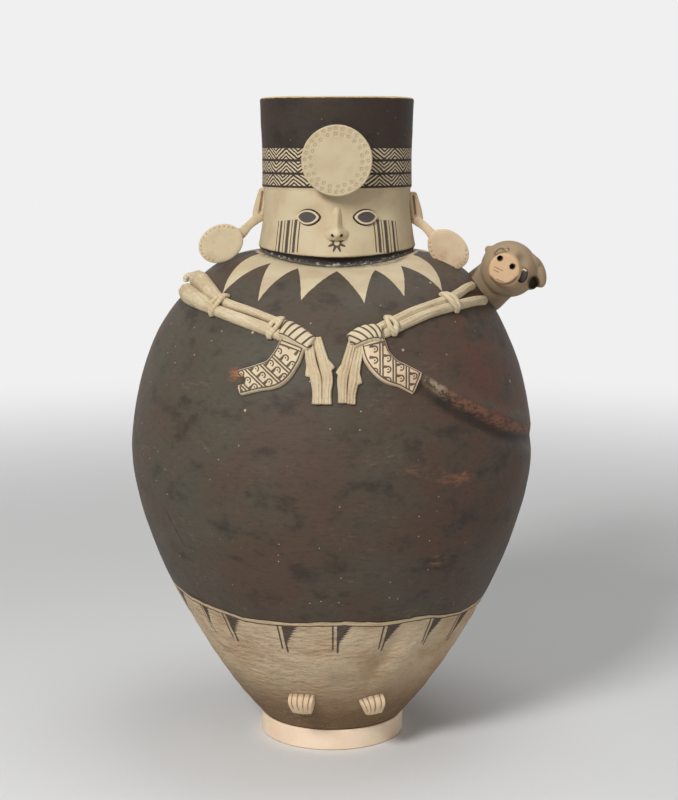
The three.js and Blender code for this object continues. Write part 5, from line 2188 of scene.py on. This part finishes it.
    def cords(self) -> None:
        """The knotted cords round each pair of legs."""
        finish = self.cord_finish()
        for name, (start, end) in self.ties.items():
            turns = []
            for way in (-1, 1):
                stops = []
                for i in range(9):
                    share = i / 8
                    arch = sin(pi * share)
                    height = JAR_WALL.seam_height - lerp(start[1], end[1], share)
                    spread = way * arch * (self.cord_radius + self.slit / 2)
                    angle = lerp(start[0], end[0], share) + degrees(spread / JAR_WALL.radius_at(height))
                    out = JAR_WALL.outward(angle, height)
                    lift = self.cord_lift * sqrt(arch)
                    stops.append((JAR_WALL.skin(angle, height) + out * lift, self.cord_radius))
                turns.append(limb(stops, 20, 40))
            settle((name,), fused(turns, 0.5, 3), finish)

    def curl(self) -> None:
        """The tail, curled over the rump."""
        angle, height, _ = self.legs["hind_leg_upper"][0]
        rump = JAR_WALL.skin(angle, height)
        stops = [(rump + Vector((x, y, z)), radius) for x, y, z, radius in self.tail]
        settle(("tail",), limb(stops, 28, 44), self.cord_finish())

    def build(self) -> None:
        """Makes the whole animal."""
        self.head()
        self.eyes()
        self.legs_and_ends()
        self.cords()
        self.curl()


@dataclass
class Arm:
    """A fist and the patterned sleeve below it."""

    side: Side
    fist: Stops
    sleeve: Stops
    along: tuple[float, float]
    across: tuple[float, float]
    first_line: float
    band: float
    stagger: float
    step: float
    offset: float
    turn: float
    skew: float
    tuck: float = 7.0
    fingers: tuple[float, ...] = (0.07, 0.24, 0.42, 0.62, 0.84, 1.02)
    chips: Quads = ()

    def fist_finish(self, length: float) -> Material:
        """Cream fingers parted by dark lines, with painted shade along the fist's edges.

        Args:
            length: How long the fist's clay is.

        Returns:
            The material.
        """
        s = Shader(f"hand_slip_{self.side.word}")
        cuff = s["across"] * float(self.side.value)
        way = s["way"] / length + cuff * self.skew
        lines = any_of([way.near(at, 0.03, 0.014) for at in self.fingers]) & cuff.rises(0.7, 0.64)
        lines = lines | cuff.near(0.7, 0.05, 0.02)
        colour = s.layers(CREAM.colour(s, 0.3), (lines * 0.95, LINE),
                          # Painted shade along the edges where the fist meets the wall.
                          (s["up"].rises(0.28, 0.06) * 0.8, CRACK_AND_SHADE))
        return s.finish(colour, 0.77, clay_grain(s) - lines * 0.15)

    def scroll(self, on: Socket, down: Socket) -> Socket:
        """A wave that rises from its band's edge and curls over, with a dot in the curl.

        Args:
            on: The place along the band, from the wave's middle.
            down: The place across the band, from its middle.

        Returns:
            The wave's mask.
        """
        aside, up = on * self.turn, down * self.turn
        far = (aside * aside + up * up).math("SQRT")
        open_below = up.rises(-0.7, -1.3) & aside.rises(1.4, 0.8)
        ring = far.near(2.5, 0.66, 0.2) & (1 - open_below)
        body = (abs(aside - 2.4) + up * 0.15).rises(0.85, 0.6) & up.rises(0.5, 0.1)
        body = body & up.rises(0.9 - self.band / 2, 1.1 - self.band / 2)
        return ring | body | far.rises(0.9, 0.55)

    def sleeve_finish(self, length: float) -> Material:
        """Bands of scrolls between double lines, with a border.

        Args:
            length: How long the sleeve's clay is.

        Returns:
            The material.
        """
        s = Shader(f"sleeve_slip_{self.side.word}")
        x, _, z = s.axes()
        ragged = (s.noise(3, 3, 0.6, seed=5.8) - 0.5) * 0.5
        down = x * self.across[0] + z * self.across[1] + ragged
        on = x * self.along[0] + z * self.along[1] + ragged
        band = (down - self.first_line) / self.band
        local = band.fraction() * self.band
        lines = (local.near(1.3, 0.75, 0.2) | local.near(self.band - 1.3, 0.75, 0.2)) & band.rises(0.8, 0.85)
        phase = ((on - self.offset - band.floor() * self.stagger) / self.step + 0.5).fraction()
        scroll = self.scroll((phase - 0.5) * self.step, local - self.band / 2)
        edge = abs(s["across"])
        way = s["way"]
        top = self.tuck + 2
        framed = edge.rises(0.84, 0.82) & way.near((length - 2.4 + top) / 2, (length - 3.8 - top) / 2, 0.3)
        border = (edge.near(0.85, 0.05, 0.015) & way.near(length / 2, length / 2 - 2, 0.3)) | (
            (way.near(length - 3.1, 0.8, 0.2) | way.near(top, 0.8, 0.2) | way.near(top - 3.4, 0.7, 0.2))
            & edge.rises(0.88, 0.86))
        dark = ((lines | scroll) & framed) | border
        worn = s.noise(4, 4, 0.7, seed=9.9).rises(0.56, 0.66)
        ink = s.mix(worn * 0.6, LINE, paint(134, 96, 70))
        base = CREAM.colour(s, 0.25) if self.side is Side.LEFT else PINK.colour(s, 0.25)
        colour = s.mix(dark * 0.92, base, ink)
        if self.chips:
            broken = s["broken"].rises(0.35, 0.55)
            colour = s.mix(broken, colour, s.mix(s.noise(3, 4, seed=2.2).rises(0.4, 0.6),
                                                 paint(202, 146, 98), paint(112, 82, 62)))
        return s.finish(colour, 0.76, clay_grain(s) - dark * 0.06)

    def build(self) -> None:
        """Makes the fist and the sleeve."""
        word = self.side.word
        fist = LaidClay(drops(self.fist), fullness=1.05, square=1.6, end_round=2.2, rings=130, ridges=5,
                        groove=0.05)
        settle((f"hand_{word}",), fist.mesh(), self.fist_finish(fist.length))
        sleeve = LaidClay(drops(self.sleeve), fullness=0.42, square=2.2, end_round=1.6, rings=110, sides=72,
                          wobble=0.35)
        bm = sleeve.mesh()
        self.break_corner(bm)
        settle((f"sleeve_{word}",), bm, self.sleeve_finish(sleeve.length))

    def break_corner(self, bm: Mesh) -> None:
        """Sinks each chipped place, of its own (angle, drop, radius, depth), into the wall.

        Args:
            bm: The sleeve's mesh.
        """
        places = []
        for angle, drop, radius, depth in self.chips:
            height = JAR_WALL.seam_height - drop
            places.append((JAR_WALL.skin(angle, height), JAR_WALL.outward(angle, height), radius, depth))

        def loss(point: Vector, place: tuple[Vector, Vector, float, float]) -> float:
            """How far a point has broken away."""
            middle, out, radius, _ = place
            away = point - middle
            away -= out * away.dot(out)
            return smoothstep(away.length + 1.6 * noise.noise(point / 2.2), radius + 0.5, radius - 0.5)

        tag(bm, "broken", lambda v: clamp(sum(loss(v.co, place) for place in places)))

        def sink(point: Vector, normal: Vector) -> Vector:
            """Sinks what has broken away."""
            return sum((place[1] * (-place[3] * loss(point, place)) for place in places), Vector())

        sculpt(bm, sink)


@dataclass
class Foot:
    """A small foot low on the jar, with five toes."""

    side: Side
    stops: Stops
    slant: tuple[float, float]

    def taper(self, bm: Mesh) -> None:
        """Draws the foot in towards its toes, by its own share on each side.

        Args:
            bm: The foot's mesh.
        """
        angle, rise, half = self.stops[1]
        middle = JAR_WALL.skin(angle, JAR_WALL.base_height + rise)
        across = polar(angle + 90, 1, 0)

        def narrow(point: Vector, normal: Vector) -> Vector:
            """Draws a point in."""
            aside = (point - middle).dot(across)
            low = clamp((middle.z + half - point.z) / (2 * half))
            return across * (-aside * low * self.slant[aside > 0])

        sculpt(bm, narrow)

    def finish(self, length: float) -> Material:
        """Pale clay with dark lines between the toes, and painted shade along its lower edge.

        Args:
            length: How long the foot's clay is.

        Returns:
            Its material.
        """
        s = Shader(f"foot_slip_{self.side.word}")
        high = s["across"]
        way = s["way"] / length + (s.noise(4, 2, seed=3.0) - 0.5) * 0.03
        lines = any_of([way.near(at, 0.018, 0.012) for at in (0.2, 0.4, 0.6, 0.8)])
        lines = lines & (high + (s.noise(5, 2, seed=5.0) - 0.5) * 1.2).rises(-0.2, 0.3)
        # Painted shade along the foot's edges, strongest under it.
        low = s["up"].rises(0.25, 0.05) * (0.75 - high.rises(-0.2, 0.2) * 0.45)
        colour = s.layers(PINK.colour(s, 0.3), (0.4, paint(232, 204, 168)),
                          (lines * 0.8, paint(116, 86, 58)), (low, CRACK_AND_SHADE))
        return s.finish(colour, 0.76, clay_grain(s) - lines * 0.3)

    def build(self) -> None:
        """Makes the foot."""
        stops = [(angle, JAR_WALL.base_height + rise, half) for angle, rise, half in self.stops]
        clay = LaidClay(stops, fullness=0.8, square=1.4, end_round=2.2, rings=150, ridges=5, groove=0.06)
        bm = clay.mesh()
        self.taper(bm)
        settle((f"foot_{self.side.word}",), bm, self.finish(clay.length), Slot.PINK)


@dataclass
class Studio:
    """Camera, lamps and the pale floor."""

    eye: Triple = (0.007, -1.65, 0.601)
    tilt: float = 9.0
    lens: float = 75.15
    aim: Triple = (0.0, 0.0, 0.3)
    pale: float = 0.87

    def camera(self) -> None:
        """Sets the photograph's view."""
        data = bpy.data.cameras.new("camera")
        data.lens = self.lens
        data.sensor_width = 36
        camera = shown("camera", data)
        camera.location = self.eye
        camera.rotation_euler = (radians(90 - self.tilt), 0, 0)
        bpy.context.scene.camera = camera

    def lamp(self, name: str, place: Triple, size: float, watts: float) -> None:
        """Adds a soft lamp that looks at the jar.

        Args:
            name: The lamp's name.
            place: Where it is, in metres.
            size: How wide it is.
            watts: Its power.
        """
        data = bpy.data.lights.new(name, "AREA")
        data.size = size
        data.energy = watts
        lamp = shown(name, data)
        lamp.location = place
        lamp.rotation_euler = (Vector(self.aim) - Vector(place)).to_track_quat("-Z", "Y").to_euler()

    def seen(self, tree: bpy.types.NodeTree) -> Link:
        """A factor that is 1 where the background is seen, directly or in a reflection.

        Args:
            tree: The world's or the floor's nodes.

        Returns:
            The factor's socket.
        """
        path = tree.nodes.new("ShaderNodeLightPath")
        total = path.outputs["Is Camera Ray"]
        for name in ("Is Glossy Ray", "Is Transmission Ray"):
            more = tree.nodes.new("ShaderNodeMath")
            more.operation = "MAXIMUM"
            tree.links.new(total, more.inputs[0])
            tree.links.new(path.outputs[name], more.inputs[1])
            total = more.outputs[0]
        return total

    def world(self) -> None:
        """A pale surround that lights the jar only softly."""
        world = bpy.data.worlds.new("surround")
        world.use_nodes = True
        tree = world.node_tree
        lit = tree.nodes["Background"]
        lit.inputs["Color"].default_value = (1, 1, 1, 1)
        lit.inputs["Strength"].default_value = 0.22
        pale = tree.nodes.new("ShaderNodeBackground")
        pale.inputs["Color"].default_value = (self.pale, self.pale, self.pale, 1)
        mix = tree.nodes.new("ShaderNodeMixShader")
        tree.links.new(self.seen(tree), mix.inputs[0])
        tree.links.new(lit.outputs[0], mix.inputs[1])
        tree.links.new(pale.outputs[0], mix.inputs[2])
        tree.links.new(mix.outputs[0], tree.nodes["World Output"].inputs[0])
        bpy.context.scene.world = world

    def floor(self) -> None:
        """A pale round floor that fades into the surround."""
        bm = bmesh.new()
        bmesh.ops.create_circle(bm, cap_ends=True, segments=96, radius=6)
        mesh = bpy.data.meshes.new("floor")
        bm.to_mesh(mesh)
        bm.free()
        s = Shader("floor_pale")
        fine = s.noise(3, 3, seed=1.0)
        surface = s.finish(s.mix(fine, (0.74, 0.74, 0.735, 1), (0.77, 0.77, 0.765, 1)), 0.9)
        glow = s.node("ShaderNodeEmission", None, {"Color": (self.pale, self.pale, self.pale, 1)})
        x, y, _ = s.axes()
        far = (x * x + y * y).math("SQRT").rises(600, 2600)
        mixer = s.node("ShaderNodeMixShader", None, {
            0: far * Socket(s, self.seen(s.tree)), 1: s.surface.outputs[0], 2: glow.outputs[0]})
        s.tree.links.new(mixer.outputs[0], s.tree.nodes["Material Output"].inputs[0])
        mesh.materials.append(surface)
        shown("floor", mesh)

    def build(self) -> None:
        """Sets the whole stage."""
        self.camera()
        self.world()
        self.floor()
        self.lamp("key", (-1.0, -1.85, 1.75), 0.6, 49)
        self.lamp("fill", (1.9, -1.6, 1.0), 1.6, 6)
        self.lamp("top", (0.3, 0.1, 2.2), 1.2, 12)
        bpy.context.scene.view_settings.view_transform = "Standard"


EARS = (
    Ear(Side.LEFT, top=(1, 6, 64), turn=(5, 6, 36), lobe=(19.6, 20, 21), disc=(39.6, 34, 11)),
    Ear(Side.RIGHT, top=(3, 6, 60), turn=(6.6, 6, 33), lobe=(20.6, 20, 18.5), disc=(35.1, 34, 5.5),
        wide=17.0),
)

ARMS = (
    Arm(Side.LEFT, skew=0.065, turn=-1.0,
        fist=((-16, 56, 9.5), (-12.8, 58.5, 9.5), (-9.2, 63.5, 9), (-5.6, 69, 7.5)),
        sleeve=((-11.2, 64.5, 11.8), (-12, 71, 12.5), (-13.2, 81, 13.2), (-16, 92.4, 13.6), (-21, 97.5, 12.2),
                (-26.6, 103, 11.7)),
        along=(0.755, -0.656), across=(-0.656, -0.755), first_line=-285.9, band=12.6, stagger=1.4,
        step=8.2, offset=-304.9, chips=((-28.9, 94.8, 6.9, 3.0), (-25.7, 100.4, 5.0, 8.5))),
    Arm(Side.RIGHT, skew=0.165, turn=1.0,
        fist=((15.2, 60.5, 8.5), (12.3, 59.5, 9), (9, 61.5, 9), (5.2, 66.5, 7.5)),
        sleeve=((11.2, 61.5, 11.2), (12.4, 67.5, 12), (13.5, 79, 12.5), (16.5, 90, 12.3), (20.5, 95.8, 11),
                (24.8, 103.3, 11)),
        along=(0.0, 1.0), across=(1.0, 0.0), first_line=33.0, band=11.8, stagger=1.2,
        step=9.4, offset=403.7),
)

FEET = (
    Foot(Side.LEFT, ((-22.8, 39, 11), (-15.5, 40, 12), (-7.9, 40, 11.2)), (0.08, 0.35)),
    Foot(Side.RIGHT, ((13.4, 34, 9.4), (21.9, 36.5, 11.5), (29.2, 37.5, 11.5)), (0.7, 0.1)),
)


def main() -> None:
    """Builds the stage and every piece, and logs how many faces each piece has."""
    logging.basicConfig(level=logging.INFO, format="%(name)s: %(message)s")
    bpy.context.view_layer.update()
    Studio().build()
    for part in (DisplayRing(), JarBody(), Head(), HatDisc(), *EARS, CarriedAnimal(), *ARMS, *FEET):
        part.build()


if __name__ == "__main__":
    main()
